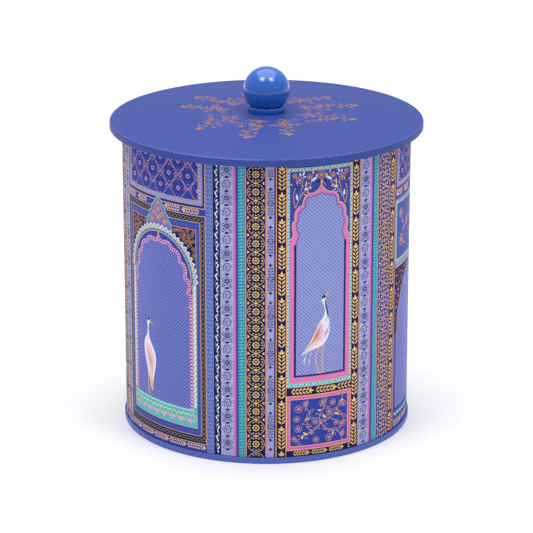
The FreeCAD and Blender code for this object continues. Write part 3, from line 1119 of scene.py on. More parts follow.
blush_marks = leaves(5, (0.6, 74.0, 232, 8.6, 1.5), (1.4, 71.6, 226, 7.4, 1.3),
                     (1.2, 68.8, 218, 6.2, 1.1), (3.9, 72.4, 250, 5.2, 1.0))
feather_lines = [pen([(1.0 - 0.7 * k, 74.4 - 1.9 * k), (-1.8 - 0.8 * k, 69.8 - 1.4 * k),
                      (-5.0 - 0.9 * k, 64.4 - 0.9 * k)], 0.22, taper=True) for k in range(4)]
feather_lines += [pen([(4.6, 74.8), (3.9, 70.4), (1.8, 66.2)], 0.22, taper=True),
                  pen([(3.9, 79.0), (3.2, 77.2), (2.2, 75.6)], 0.2, taper=True)]
tail_dark = [leaf(-5.0, 62.8, 207 + 5 * k, 7.6 - 0.5 * k, 0.62, 6) for k in (0, 2, 4)]
tail_dark.append(pen([(0.2, 75.6), (-2.6, 72.2), (-5.2, 67.2), (-7.4, 62.6)], 0.34, taper=True))
tail_light = [leaf(-5.0, 62.6, 209 + 5 * k, 7.0, 0.62, 6) for k in (0, 2)]
standing_cap = [polygon(curve([(1.7, 90.1), (0.5, 89.2), (0.5, 87.9), (1.3, 88.2), (2.1, 88.2),
                               (2.8, 89.0), (2.5, 90.0)], 3, True)),
                pen([(2.6, 88.0), (2.6, 85.6), (3.3, 82.4), (3.9, 79.4), (4.2, 77.0)], 0.85,
                    taper=True)]
nape_streak = [pen([(0.9, 88.4), (0.2, 87.4), (-0.6, 87.0)], 0.34, 3, taper=True),
               pen([(1.4, 89.0), (1.7, 87.4), (2.0, 85.8)], 0.34, 3, taper=True)]
standing_beak = [polygon([(2.3, 89.9), (2.9, 88.9), (4.9, 93.1)])]
standing_legs = [stroke([(-0.9, 62.6), (-3.0, 55.8), (-0.9, 48.2)], 0.5),
                 stroke([(1.6, 63.4), (0.8, 56.6), (1.3, 48.4)], 0.5),
                 stroke([(-2.1, 47.95), (-0.9, 48.3), (0.1, 47.9)], 0.36),
                 stroke([(0.3, 48.2), (1.3, 48.5), (2.4, 48.1)], 0.36)]
plumes = [pen([(-6.2, 62.6), (-8.0, 58.0), (-8.6 - 0.7 * k, 52.6 + 1.1 * k)], 0.3, taper=True)
          for k in range(3)]
plumes += [pen([(-4.4, 61.6), (-5.8, 57.4), (-6.0 - 0.5 * k, 53.4 - 1.6 * k)], 0.28, taper=True)
           for k in range(2)]
wing_gold = [leaf(-6.6, 63.0, 48, 9.4, 0.9, 6), leaf(-4.2, 65.2, 52, 6.2, 0.8, 6)]
print_piece(
    "standing_birds",
    (plumes, 1, WHITE),
    (wing_gold, 5, TAN),
    (tail_dark[:3], 1, SLATE),
    (standing_legs, 1, TAN),
    (tail_light, 2, WHITE),
    ([polygon(standing_body)], 2, WHITE),
    ([polygon(standing_wing)], 3, PALE_PINK),
    (blush_marks, 4, BLUSH),
    (feather_lines + tail_dark[3:], 5, SLATE),
    (standing_beak, 4, TAN),
    (standing_cap, 4, SLATE),
    (nape_streak, 5, WHITE),
    panels=NARROW_PANELS)

# The wide panels, two of the same design and one with a gold flower box in place of the big
# arch. First the lattice head that all three share, and the braid and lines round it.
PANEL_LIFT = 0.9
WIDE_PANELS = [(-62.1, PANEL_LIFT), (306.0, PANEL_LIFT)]
BOX_PANEL = [(111.5, PANEL_LIFT)]
ALL_WIDE = WIDE_PANELS + BOX_PANEL
PANEL_HALF = 30.35
PANEL_HEAD = HEAD_Z - PANEL_LIFT
PANEL_FOOT = FOOT_Z - PANEL_LIFT
LATTICE_HALF = 26.2
LATTICE_LOW = 138.5
CELL_X = 6.05
CELL_Y = 7.1
OLIVE = ink("olive_ink", rgb(136, 134, 90))
LILAC = ink("lilac_ink", rgb(206, 158, 214))
RAIL_BLUE = ink("rail_blue_ink", rgb(52, 72, 170))
BRAID_BLUE = ink("braid_blue_ink", rgb(178, 190, 230))


def lattice_cells():
    for row in range(4):
        y = 143.4 + CELL_Y * row
        for k in range(-3, 4):
            x = 2.26 + 2 * CELL_X * k + (CELL_X if row % 2 else 0)
            if abs(x) < LATTICE_HALF + 5:
                yield x, y


def lattice_navy():
    shapes = []
    for x, y in lattice_cells():
        for sx, sy in ((1, 1), (1, -1), (-1, 1), (-1, -1)):
            cx, cy = x + 2.35 * sx, y + 2.75 * sy
            for k in (-1, 0, 1):
                ox, oy = 0.78 * k * sy, 0.78 * k * sx
                shapes.append(polygon([(cx + ox - 0.62, cy + oy), (cx + ox, cy + oy - 0.7),
                                       (cx + ox + 0.62, cy + oy), (cx + ox, cy + oy + 0.7)]))
        shapes.append(annulus(x, y, 2.3, 0.5, 12))
    return shapes


def lattice_gold():
    shapes = []
    for x, y in lattice_cells():
        for sx in (1, -1):
            for sy in (1, -1):
                shapes.append(pen([(x + CELL_X * sx, y), (x + 4.3 * sx, y + 1.3 * sy),
                                   (x + 3.1 * sx, y + 3.5 * sy), (x + 1.6 * sx, y + 4.6 * sy),
                                   (x, y + CELL_Y * sy)], 0.2, 2))
    return shapes


def lattice_lilac():
    shapes = []
    for x, y in lattice_cells():
        shapes.append(annulus(x, y, 1.2, 0.55, 10))
        for dx, dy in ((0, 4.5), (0, -4.5), (4.0, 0), (-4.0, 0), (2.9, 3.4), (-2.9, 3.4),
                       (2.9, -3.4), (-2.9, -3.4), (1.7, 6.2), (-1.7, 6.2), (1.7, -6.2), (-1.7, -6.2)):
            shapes.append(circle(x + dx, y + dy, 0.36, 5))
    return shapes


def in_lattice(shapes):
    return clip(shapes, -LATTICE_HALF, LATTICE_HALF, LATTICE_LOW, PANEL_HEAD)


def u_line(half, low, high, width):
    """A gold line down both sides of the lattice and across its foot."""
    return [rectangle(-half - width, -half, low - width, high),
            rectangle(half, half + width, low - width, high),
            rectangle(-half, half, low - width, low)]


braid_line = [(-27.35, PANEL_HEAD), (-27.35, 137.2), (27.35, 137.2), (27.35, PANEL_HEAD)]
dash_line = [(-29.25, PANEL_HEAD), (-29.25, 135.3), (29.25, 135.3), (29.25, PANEL_HEAD)]
braid = [leaf(-0.6, -0.5, 35, 1.5, 0.65, 4), leaf(-0.6, 0.5, -35, 1.5, 0.65, 4)]
LATTICE_NAVY = ink("lattice_navy_ink", rgb(50, 56, 116))
print_piece(
    "lattice_grounds",
    ([rectangle(-LATTICE_HALF, LATTICE_HALF, LATTICE_LOW, PANEL_HEAD)], 0, BOX_BLUE),
    (in_lattice(lattice_navy()), 1, LATTICE_NAVY),
    panels=ALL_WIDE)
print_piece(
    "lattice_lines",
    (in_lattice(lattice_gold()) + u_line(LATTICE_HALF, LATTICE_LOW, PANEL_HEAD, 0.4)
     + u_line(28.3, 136.4, PANEL_HEAD, 0.4) + u_line(29.9, 134.6, PANEL_HEAD, 0.45), 2, DULL_GOLD),
    (in_lattice(lattice_lilac()), 3, LILAC),
    panels=ALL_WIDE)
print_piece(
    "lattice_edging",
    (u_line(26.6, 138.1, PANEL_HEAD, 1.7), 0, PERIWINKLE),
    (u_line(28.7, 136.0, PANEL_HEAD, 1.2), 0, RAIL_BLUE),
    (braid, 1, BRAID_BLUE, along(braid_line, 1.9, 0.6)),
    ([rectangle(-0.62, 0.62, -0.4, 0.4)], 1, NAVY, along(dash_line, 1.9, 0.6)),
    panels=ALL_WIDE)

# The olive chain frame of the two wide panels, on navy between gold lines, and the laurel
# rails of all three: gold garlands on blue, over the frame and under it.
CHAIN_PITCH = 2.62
chain_line = [(-28.6, 8.95), (-28.6, 128.5), (28.6, 128.5), (28.6, 8.95), (-28.6, 8.95)]
chain_link = [stroke(curve([(-1.2, 0), (-0.55, 0.75), (0.55, 0.75), (1.2, 0), (0.55, -0.75),
                            (-0.55, -0.75)], 2, True), 0.32, True), circle(1.3, 0, 0.3, 5)]
weave_line = [(-25.8, 12.9), (-25.8, 124.7), (25.8, 124.7), (25.8, 12.9), (-25.8, 12.9)]
weave_mark = [leaf(-0.8, -0.35, 12, 1.4, 0.45, 4), leaf(-0.3, 0.4, 12, 1.3, 0.4, 4)]
rail_buds = [(x, 132.5, 90, 0.82) for x in (-28.4, -17.0, 6.0, 17.6)]
base_buds = [(28.8 - 12.0 * k, 4.9, -90, 0.76) for k in range(5)]
rail_hanging = [s for bud in rail_buds for s in garland(bud, 4 if bud[0] < 0 else 5)]
base_hanging = [s for bud in base_buds for s in garland(bud, 6, 2.05)]
MID_BLUE = ink("mid_blue_ink", rgb(88, 108, 196))
print_piece(
    "chain_frame",
    (box_ring(-30.0, 30.0, 6.95, 130.2, 2.75, 3.95, 3.3), 0, NAVY),
    (chain_link, 1, OLIVE, along(chain_line, CHAIN_PITCH, 0.4)),
    (thin_frame(PANEL_HALF, 6.55, 130.6, 0.42) + thin_frame(27.4, 10.8, 127.0, 0.38)
     + thin_frame(25.0, 14.7, 122.9, 0.35), 2, DULL_GOLD),
    (weave_mark, 1, MID_BLUE, along(weave_line, 1.6, 0.4)),
    panels=WIDE_PANELS)
print_piece(
    "laurel_rails",
    ([rectangle(-PANEL_HALF, PANEL_HALF, 130.6, 134.2),
      rectangle(-PANEL_HALF, PANEL_HALF, PANEL_FOOT, 6.55)], 0, RAIL_BLUE),
    (laurel_bud(), 2, GOLD, rail_buds + base_buds),
    (laurel_chevron(), 2, GOLD, rail_hanging + base_hanging),
    panels=ALL_WIDE)

# The big arch of the two wide panels: a ring of pointed petals, a teal and orange rope and a
# blue crescent over a pink cusped rim, a cross-hatched window, and a violet finial on top.
ARCH_Z = 94.0
ARCH_ANGLES = [math.radians(a) for a in range(0, 181, 4)]
SILL_Z = 25.0
FIELD_HALF = 24.65
ROPE_WIDE, ROPE_TALL = 22.65, 24.4
PETAL_WIDE, PETAL_TALL = 23.3, 25.0
LEAF_TEAL = ink("leaf_teal_ink", rgb(96, 190, 198))
ORANGE = ink("orange_ink", rgb(240, 176, 96))
CUSP_PINK = ink("cusp_pink_ink", rgb(236, 168, 212))
ROPE_BLUE = ink("rope_blue_ink", rgb(84, 150, 190))
SPRIG_GOLD = ink("sprig_gold_ink", rgb(196, 138, 98))
FINIAL_VIOLET = ink("finial_violet_ink", rgb(122, 112, 178))
HATCH = crossed_ink("hatch_ink", rgb(72, 84, 180), rgb(136, 144, 210), 2.0, 0.125)


def arc_line(wide, tall):
    return [(wide * math.cos(a), ARCH_Z + tall * math.sin(a)) for a in ARCH_ANGLES]


cusp_half = chain([[(0, 114.6), (1.6, 112.9), (3.4, 112.6), (5.6, 113.0), (8.0, 112.4), (9.6, 110.2)],
                   [(9.6, 110.2), (12.4, 109.4), (14.4, 107.2), (15.0, 104.2)],
                   [(15.0, 104.2), (17.4, 102.6), (18.5, 99.6), (18.0, 96.4)],
                   [(18.0, 96.4), (20.2, 94.4), (20.9, 91.4), (19.9, 88.2)],
                   [(19.9, 88.2), (21.7, 86.2), (21.9, 83.0), (21.0, 80.4)]])
cusp_full = [(-x, y) for x, y in cusp_half[::-1]] + cusp_half[1:]
window_shape = polygon([(-21.0, SILL_Z), (21.0, SILL_Z)] + cusp_half[::-1][:-1]
                       + [(-x, y) for x, y in cusp_half])
petal_angles = [math.radians(a) for a in np.linspace(2.0, 178.0, 27)]
petal_stations = [(PETAL_WIDE * math.cos(a), ARCH_Z + PETAL_TALL * math.sin(a),
                   math.degrees(math.atan2(math.sin(a) / PETAL_TALL, math.cos(a) / PETAL_WIDE)))
                  for a in petal_angles]
petal_white = [leaf(-0.4, 0, 0, 3.3, 2.9, 6, 0.42)]
petal_teal = [leaf(-0.3, 0, 0, 2.5, 2.0, 5, 0.42)]
petal_orange = [leaf(-0.2, 0, 0, 1.7, 1.15, 5, 0.42)]
rope_stations = along(arc_line(ROPE_WIDE, ROPE_TALL), 1.45, 0.5)
rope_mark = [leaf(-0.55, -0.28, 25, 1.2, 0.5, 4)]
dash_stations = along(cusp_full, 1.35, 0.6)
for x in (21.7, -21.7):
    dash_stations += along([(x, 80.0), (x, SILL_Z)], 1.9, 0.8)
dash_mark = [rectangle(-0.3, 0.3, -0.68, 0.62)]
side_leaf = [leaf(-0.7, -1.0, 62, 2.6, 1.05, 5), leaf(0.8, 0.3, 118, 2.4, 0.95, 5)]
side_leaves = [(x, 27.0 + 2.9 * k) for x in (-23.75, 23.75) for k in range(23)]
print_piece("big_window", ([window_shape], 2, HATCH), panels=WIDE_PANELS)
print_piece(
    "big_arch_grounds",
    ([rectangle(-FIELD_HALF, FIELD_HALF, ARCH_Z - 0.6, 122.6)], 0, NAVY),
    ([rectangle(-FIELD_HALF, -22.6, 23.8, 93.9), rectangle(22.6, FIELD_HALF, 23.8, 93.9)], 0,
     LEAF_TEAL),
    ([polygon(arc_line(22.0, 23.6))], 1, RAIL_BLUE),
    panels=WIDE_PANELS)
print_piece(
    "big_arch_rim",
    ([stroke(cusp_full, 2.0), rectangle(20.9, 22.5, SILL_Z, 81.0),
      rectangle(-22.5, -20.9, SILL_Z, 81.0)], 3, CUSP_PINK),
    (dash_mark, 4, NAVY, dash_stations),
    ([leaf(0, 114.8, 90, 3.6, 1.1, 5), rectangle(22.45, 22.7, SILL_Z, 93.6),
      rectangle(-22.7, -22.45, SILL_Z, 93.6)], 4, DULL_GOLD),
    (side_leaf, 1, WHITE, side_leaves),
    panels=WIDE_PANELS)
print_piece(
    "petal_ring",
    ([stroke(arc_line(ROPE_WIDE, ROPE_TALL), 1.5)], 5, ROPE_BLUE),
    ([stroke(arc_line(21.85, 23.55), 0.34), stroke(arc_line(23.5, 25.25), 0.34)], 6, ORANGE),
    (rope_mark, 6, DEEP_BLUE, rope_stations),
    (petal_white, 7, WHITE, petal_stations),
    (petal_teal, 8, LEAF_TEAL, petal_stations),
    (petal_orange, 9, ORANGE, petal_stations),
    panels=WIDE_PANELS)

# The finial on top of the arch: a stepped violet shape edged in pale teal, with gold line
# flowers and two long gold curves on it.
finial_half = chain([[(0, 137.7), (0.7, 135.9), (2.4, 134.2), (3.2, 132.4)],
                     [(3.2, 132.4), (4.9, 131.0), (5.3, 128.6)],
                     [(5.3, 128.6), (7.2, 127.2), (7.4, 124.6)],
                     [(7.4, 124.6), (9.3, 122.8), (9.8, 119.2)]])
finial_outline = finial_half + [(0, 121.0)]
finial_curls = []
for x, y, size in ((0, 133.2, 0.8), (0, 129.6, 1.2), (-2.6, 127.0, 0.9), (2.6, 127.0, 0.9),
                   (0, 125.2, 1.2), (-4.6, 123.6, 1.0), (4.6, 123.6, 1.0)):
    finial_curls += line_rose(x, y, size * 1.25)
finial_curls += [pen([(-7.8, 121.4), (-6.0, 124.6), (-3.6, 128.6), (-1.2, 133.0)], 0.3),
                 pen([(7.8, 121.4), (6.0, 124.6), (3.6, 128.6), (1.2, 133.0)], 0.3)]
print_piece(
    "arch_finial",
    (mirrored([polygon(finial_outline)]), 3, FINIAL_VIOLET),
    (finial_curls, 4, DULL_GOLD),
    (mirrored([stroke(finial_half, 0.55)]), 4, PALE_TEAL),
    panels=WIDE_PANELS)

# The spandrel flowers: small orange-gold sprigs, scattered thickly and unevenly on the navy
# corners beside the big arch. Their places are drawn by chance, kept a little apart.
scatter = random.Random(27)


def scattered(count, left, right, low, high, allowed, apart):
    """Seeded stations inside a region, none closer than the given distance."""
    found = []
    for _ in range(count * 60):
        x, y = scatter.uniform(left, right), scatter.uniform(low, high)
        if allowed(x, y) and all(math.hypot(x - p[0], y - p[1]) > apart for p in found):
            found.append((x, y, scatter.uniform(0, 360), scatter.uniform(0.8, 1.15)))
        if len(found) == count:
            break
    return found


def beside_arch(x, y):
    return (x / 27.2) ** 2 + ((y - ARCH_Z) / 29.4) ** 2 > 1.0 and not (abs(x) < 9.5 and y < 124)


sprig = line_rose(0, 0, 0.95, 5, 0.16) + [leaf(1.0, 0.6, 35, 1.2, 0.45, 4),
                                          leaf(-1.0, -0.5, 205, 1.2, 0.45, 4)]
sprigs = scattered(46, 10.0, 23.6, 96.0, 121.6, beside_arch, 2.1)
sprigs += scattered(46, -23.6, -10.0, 96.0, 121.6, beside_arch, 2.1)
print_piece("spandrel_sprigs", (sprig, 1, SPRIG_GOLD, sprigs), panels=WIDE_PANELS)

# The sill of the wide panels: a white bead row, then teal with a yellow zigzag, orange drops
# and pink leaf trios that hang down.
SILL_PITCH = 6.0
sill_xs = [-21.2 + SILL_PITCH * k for k in range(8)]
zigzag = [(-24.3 + 1.5 * k, 21.2 + (1.2 if k % 2 else 0.0)) for k in range(33)]
trio = [leaf(0, 0.8, 270, 3.2, 1.35, 5), leaf(-0.3, 0.9, 222, 2.8, 1.2, 5),
        leaf(0.3, 0.9, 318, 2.8, 1.2, 5)]
print_piece(
    "panel_sill",
    ([rectangle(-FIELD_HALF, FIELD_HALF, 14.9, 25.0)], 0, LEAF_TEAL),
    ([circle(0, 0, 0.42, 6)], 1, WHITE, [(-24.0 + 1.25 * k, 24.3) for k in range(39)]),
    ([stroke(zigzag, 0.4)], 1, YELLOW),
    ([leaf(0, 1.6, 270, 2.0, 0.9, 5)], 1, ORANGE, [(x + 3.0, 19.2) for x in sill_xs]),
    (trio, 1, CUSP_PINK, [(x, 18.9) for x in sill_xs]),
    panels=WIDE_PANELS)

# The folded birds: one stands in each big window and faces the other way, with its wings shut
# over a long drooping tail. White, pale pink and tan inks, laid one over the other.
folded_body = curve([(-9.1, 68.4), (-10.3, 67.6), (-10.6, 65.6), (-10.3, 62.0), (-10.8, 59.2),
                     (-12.9, 56.0), (-13.7, 52.2), (-12.9, 46.8), (-11.2, 41.2), (-9.2, 35.4),
                     (-6.6, 28.8), (-5.8, 33.4), (-4.6, 38.6), (-3.4, 44.0), (-3.5, 48.8),
                     (-5.6, 53.2), (-8.4, 56.8), (-9.2, 60.4), (-9.3, 64.0), (-8.3, 66.4)], 3, True)
folded_wing = curve([(-11.4, 54.2), (-12.2, 49.8), (-10.8, 43.8), (-8.6, 37.4), (-6.9, 32.2),
                     (-5.8, 37.2), (-4.6, 42.8), (-5.0, 48.0), (-7.7, 52.6)], 3, True)
folded_marks = [leaf(-10.6 + 1.3 * k, 52.2 - 1.2 * k, 282 - 3 * k, 9.0, 0.95, 5) for k in range(4)]
folded_lines = [pen([(-10.8 + 1.5 * k, 52.6 - 1.6 * k), (-9.8 + 1.2 * k, 46.0 - 1.2 * k),
                     (-7.8 + 0.5 * k, 38.4 - k)], 0.2, taper=True) for k in range(4)]
folded_tail = [leaf(-8.2, 37.2, 284, 9.4, 0.9, 6), leaf(-9.6, 39.0, 288, 9.2, 0.7, 6),
               leaf(-7.0, 36.0, 278, 8.2, 0.7, 6)]
folded_beak = [polygon([(-8.3, 67.7), (-8.6, 66.5), (-4.6, 64.8)])]
folded_cap = [polygon(curve([(-9.0, 68.6), (-10.3, 67.7), (-10.0, 66.7), (-9.0, 67.0),
                             (-8.1, 67.7)], 3, True)),
              pen([(-10.0, 68.1), (-11.6, 68.8), (-13.2, 68.5)], 0.28, 3, taper=True)]
folded_legs = [stroke([(-8.4, 36.0), (-8.9, 30.0), (-8.7, 25.6)], 0.45),
               stroke([(-10.0, 38.0), (-10.4, 31.0), (-10.1, 25.8)], 0.45)]
print_piece(
    "folded_birds",
    (folded_legs, 3, TAN),
    ([polygon(folded_body)], 4, WHITE),
    ([polygon(folded_wing)], 5, PALE_PINK),
    (folded_marks, 6, BLUSH),
    (folded_lines + folded_tail + folded_beak, 7, TAN),
    (folded_cap, 6, SLATE),
    panels=WIDE_PANELS)

# The box panel: a pale teal frame round a blue box of gold flowers, a lavender braid, a navy
# head with pink flowers, and below it a plain gold-lined arch with a hatched window and a sill.
BOX_HALF = 29.6
BOX_PINK = ink("box_pink_ink", rgb(206, 110, 140))
box_flowers = []
for x, y, size in ((-22, 106, 2.8), (-12, 114, 2.6), (-3, 104, 3.0), (7, 114, 3.0), (16, 104, 2.6),
                   (-23, 121, 2.2), (-2, 122, 2.4), (24, 114, 2.8), (16, 122.5, 2.0), (25, 102.5, 2.0)):
    box_flowers += line_rose(x, y, size, 5, 0.34)
for x, y, turn in ((-22, 106, 60), (-22, 106, 330), (-12, 114, 20), (-12, 114, 200), (-3, 104, 70),
                   (-3, 104, 140), (7, 114, 100), (7, 114, 250), (-2, 122, 200), (-2, 122, 340),
                   (16, 104, 60), (16, 104, 160), (24, 114, 120), (-23, 121, 300), (24, 114, 250)):
    dx, dy = towards(turn, 4.6)
    box_flowers.append(leaf(x + dx, y + dy, turn, 3.0, 1.2, 5))
    box_flowers.append(stroke([(x, y), (x + dx / 2 + 0.4, y + dy / 2), (x + dx, y + dy)], 0.34))
low_arch = curve([(26.6, 13.4), (26.6, 40.0), (26.4, 60.0), (24.8, 69.5), (20.6, 78.5), (14.6, 86.0),
                  (7.2, 90.4), (0.0, 92.0)], 4)
low_full = low_arch + [(-x, y) for x, y in low_arch[::-1][1:]]


def over_low_arch(x, y):
    edge = max(p[1] for p in low_full if abs(p[0] - x) < 2.4)
    return edge + 1.4 < y < 90.6


pink_heads = scattered(26, 9.0, 28.2, 62.0, 90.6, over_low_arch, 3.1)
pink_heads += scattered(26, -28.2, -9.0, 62.0, 90.6, over_low_arch, 3.1)
small_orange = scattered(40, 6.0, 28.6, 62.0, 90.8, over_low_arch, 1.9)
small_orange += scattered(40, -28.6, -6.0, 62.0, 90.8, over_low_arch, 1.9)
print_piece(
    "box_panel",
    ([rectangle(-BOX_HALF, BOX_HALF, 56.0, 92.0)], 0, NAVY),
    ([rectangle(-BOX_HALF, BOX_HALF, 92.4, 94.6)], 0, LAVENDER),
    (thin_frame(BOX_HALF, 95.2, 128.4, 1.2), 1, PALE_TEAL),
    (thin_frame(28.3, 96.5, 127.1, 0.3) + box_flowers
     + [rectangle(-BOX_HALF, BOX_HALF, 94.6, 94.9), rectangle(-BOX_HALF, BOX_HALF, 92.0, 92.35)]
     + thin_frame(30.2, 6.6, 129.2, 0.4), 2, DULL_GOLD),
    (braid, 1, DEEP_BLUE, along([(-29.0, 93.5), (29.0, 93.5)], 1.9)),
    ([leaf(-0.8, 0, 0, 1.8, 1.3, 5), leaf(0, -0.8, 90, 1.8, 1.2, 5)], 2, BOX_PINK, pink_heads),
    ([leaf(-0.5, 0, 0, 1.1, 0.5, 4)], 1, SPRIG_GOLD, small_orange),
    ([polygon(low_full)], 2, HATCH),
    ([stroke(low_full, 0.7)], 3, SPRIG_GOLD),
    panels=BOX_PANEL)
print_piece(
    "box_sill",
    ([rectangle(-BOX_HALF, BOX_HALF, 7.0, 13.4)], 1, DEEP_BLUE),
    ([circle(0, 0, 0.8, 8)], 2, YELLOW, [(-27.3 + 3.9 * k, 10.2) for k in range(15)]),
    ([leaf(0, -1.6, 60, 3.4, 1.2, 5), leaf(0, -1.6, 120, 3.4, 1.2, 5)], 2, LEAF_TEAL,
     [(-25.35 + 3.9 * k, 10.2) for k in range(14)]),
    panels=BOX_PANEL)

# The seal ring: a soft moulded silicone ring, stretched into the plug's groove, where it grips
# the inside of the wall's mouth. Milky, with an even soft sheen.
SILICONE = rgb(206, 212, 222)


def silicone():
    mat, tree, shader = new_material("silicone", 0.55)
    cloud = blend(tree, noise(tree, 300, 3), shade(SILICONE, 0.95), shade(SILICONE, 1.04))
    tree.links.new(cloud, shader.inputs["Base Color"])
    roughen(tree, shader, 900, 2, 0.48, 0.62)
    shader.inputs["Subsurface Weight"].default_value = 0.08
    shader.inputs["Subsurface Radius"].default_value = (0.001, 0.001, 0.001)
    bump(tree, shader, noise(tree, 1600, 2), 0.15, 0.0001)
    return mat


give("seal_ring", silicone())

# The lid plug: a deep-drawn collar of bare tinplate, pressed into the lid's underside, which
# drops into the mouth. The drawing leaves fine upright lines on it.


def bare_tinplate():
    mat, tree, shader = new_material("bare_tinplate", 0.34, 0.95)
    drawn = noise(tree, 240, 3, (1, 1, 0.07))
    tree.links.new(blend(tree, drawn, shade(TINPLATE, 0.84), shade(TINPLATE, 1.06)),
                   shader.inputs["Base Color"])
    roughen(tree, shader, 900, 4, 0.26, 0.44)
    bump(tree, shader, drawn, 0.08, 0.0002)
    return mat


give("lid_plug", bare_tinplate())

# The lid panel: a shallow dome pressed with a short skirt and a hemmed edge, in the same satin
# violet-blue lacquer all over, with a painted highlight: a lighter blue painted along the rim's rounded
# edge.
LID_BLUE = rgb(50, 70, 150)
LID_HIGHLIGHT_BLUE = rgb(96, 112, 186)
LID_R = 82.5
RIM_Z = 165.0


def lid_lacquer():
    mat, tree, shader = new_material("lid_lacquer", 0.46, 0.0, 0.25)
    z = object_axes(tree)["Z"]
    # Painted highlight: a lighter blue painted into the colour on the rim's rounded edge, broken up by
    # noise.
    edge = math_node(tree, "MULTIPLY",
                     math_node(tree, "GREATER_THAN", distance_from_axis(tree), (LID_R - 0.75) * MM),
                     math_node(tree, "GREATER_THAN", z, (RIM_Z - 0.45) * MM))
    wear_and_highlight = math_node(tree, "MULTIPLY", edge, fit_range(tree, noise(tree, 120, 4), 0.45, 0.95))
    even = blend(tree, noise(tree, 60, 4), shade(LID_BLUE, 0.97), shade(LID_BLUE, 1.03))
    tree.links.new(blend(tree, wear_and_highlight, even, LID_HIGHLIGHT_BLUE), shader.inputs["Base Color"])
    roughen(tree, shader, 700, 3, 0.42, 0.54)
    bump(tree, shader, noise(tree, 520, 3), 0.07, 0.0002)
    return mat


give("lid_panel", lid_lacquer())

# The lid's wreath: fine flower sprays printed in dull gold round the knob, each spray leaning
# outwards from the knob, laid on the dome.
DROP_FROM = 0.3
DROP_REACH = 0.25
LID_FILM = 0.02


def dropped(tree, given, flat):
    """The sheet's points, dropped from above onto the lid."""
    lid = tree.nodes.new("GeometryNodeObjectInfo")
    tree.links.new(given["Lid"], lid.inputs["Object"])
    above = tree.nodes.new("ShaderNodeCombineXYZ")
    above.inputs["Z"].default_value = DROP_FROM
    tree.links.new(flat["X"], above.inputs["X"])
    tree.links.new(flat["Y"], above.inputs["Y"])
    drop = tree.nodes.new("GeometryNodeRaycast")
    tree.links.new(lid.outputs["Geometry"], drop.inputs["Target Geometry"])
    tree.links.new(above.outputs[0], drop.inputs["Source Position"])
    drop.inputs["Ray Direction"].default_value = (0, 0, -1)
    drop.inputs["Ray Length"].default_value = DROP_REACH
    up = tree.nodes.new("ShaderNodeCombineXYZ")
    tree.links.new(math_node(tree, "ADD", flat["Z"], given["Film level"]), up.inputs["Z"])
    place = node(tree, "ShaderNodeVectorMath", operation="ADD")
    tree.links.new(drop.outputs["Hit Position"], place.inputs[0])
    tree.links.new(up.outputs[0], place.inputs[1])
    return place.outputs[0]


LID_STAMPER = stamper("stamp_and_lay", "Lid", "Object", dropped)


def on_lid(shapes, level, colour, stations):
    return stamped(LID_STAMPER, shapes, stations, {
        "Lid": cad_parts["lid_panel"],
        "Film level": (LID_FILM + STEP * level) * MM,
        "Ink": colour})


def upward(points):
    out = points * np.array([1.0, 1.0, 0.0]) * 0.35
    out[:, 2] = 1.0
    return out / np.linalg.norm(out, axis=1)[:, None]


def spray(seed):
    """One spray that leans outwards: a wavy stalk with twigs, leaves, buds and line flowers."""
    chance = random.Random(seed)
    stalk = curve([(0, 0), (6, 2.2), (12, 0.6), (18, 2.4), (24, 0.4), (30, 1.6)], 4)
    shapes = [stroke(stalk, 0.26)]
    for k in range(2, 20, 2):
        x, y = stalk[k]
        side = 1 if k % 4 else -1
        turn = chance.uniform(38, 75) * side
        reach = chance.uniform(3.0, 6.5) * math.sin(math.pi * (k + 2) / 24)
        dx, dy = towards(turn, reach)
        tip = (x + dx, y + dy)
        shapes.append(stroke([(x, y), (x + dx / 2 + 0.4, y + dy / 2), tip], 0.22))
        shapes.append(leaf(x, y, -turn, chance.uniform(2.2, 3.6), 0.8, 4))
        if chance.random() < 0.5:
            shapes += line_rose(*tip, chance.uniform(1.2, 1.7), 5, 0.2)
        else:
            for bud in (-1, 0, 1):
                shapes.append(leaf(*tip, turn + 46 * bud, chance.uniform(1.3, 2.0), 0.7, 4))
    for k in range(5):
        shapes.append(leaf(30, 1.6, 72 * k, 2.0, 0.9, 4))
    return shapes


WREATH_GOLD = ink("wreath_gold_ink", rgb(178, 126, 66), 0.42)
wreath = []
for kind in range(3):
    ring = []
    for k in range(kind, 9, 3):
        a = 360 * k / 9 + 11
        ring.append(towards(a, 17.5) + (a + (8, -14, 16)[kind], (1.08, 0.95, 1.02)[kind]))
        ring.append(towards(a + 20, 30.5) + (a + (118, 96, 128)[kind], 0.56))
        ring.append(towards(a + 24, 22.0) + (a - (84, 62, 70)[kind], 0.42))
    wreath.append(on_lid(spray(11 + kind), 0, WREATH_GOLD, ring))
lid_wreath = joined("lid_wreath", wreath, upward)
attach(lid_wreath, "lid")

# The knob: a turned and moulded ball on a small flared foot, one piece, sprayed in a deep
# glossy blue and clear coated.
KNOB_BLUE = rgb(18, 96, 192)
BALL_R = 12.25
FOOT_R = 9.7
FOOT_H = 3.1
knob_low, knob_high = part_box("knob")
KNOB_BOTTOM = knob_low[2] / MM
KNOB_TOP = knob_high[2] / MM
BALL_Z = KNOB_TOP - BALL_R


def knob_material():
    mat, tree, shader = new_material("glossy_blue", 0.2)
    shader.inputs["Coat Weight"].default_value = 0.7
    shader.inputs["Coat Roughness"].default_value = 0.17
    even = blend(tree, noise(tree, 90, 3), shade(KNOB_BLUE, 0.96), shade(KNOB_BLUE, 1.05))
    tree.links.new(even, shader.inputs["Base Color"])
    roughen(tree, shader, 260, 4, 0.17, 0.24)
    bump(tree, shader, noise(tree, 240, 2), 0.02, 0.0003)
    return mat


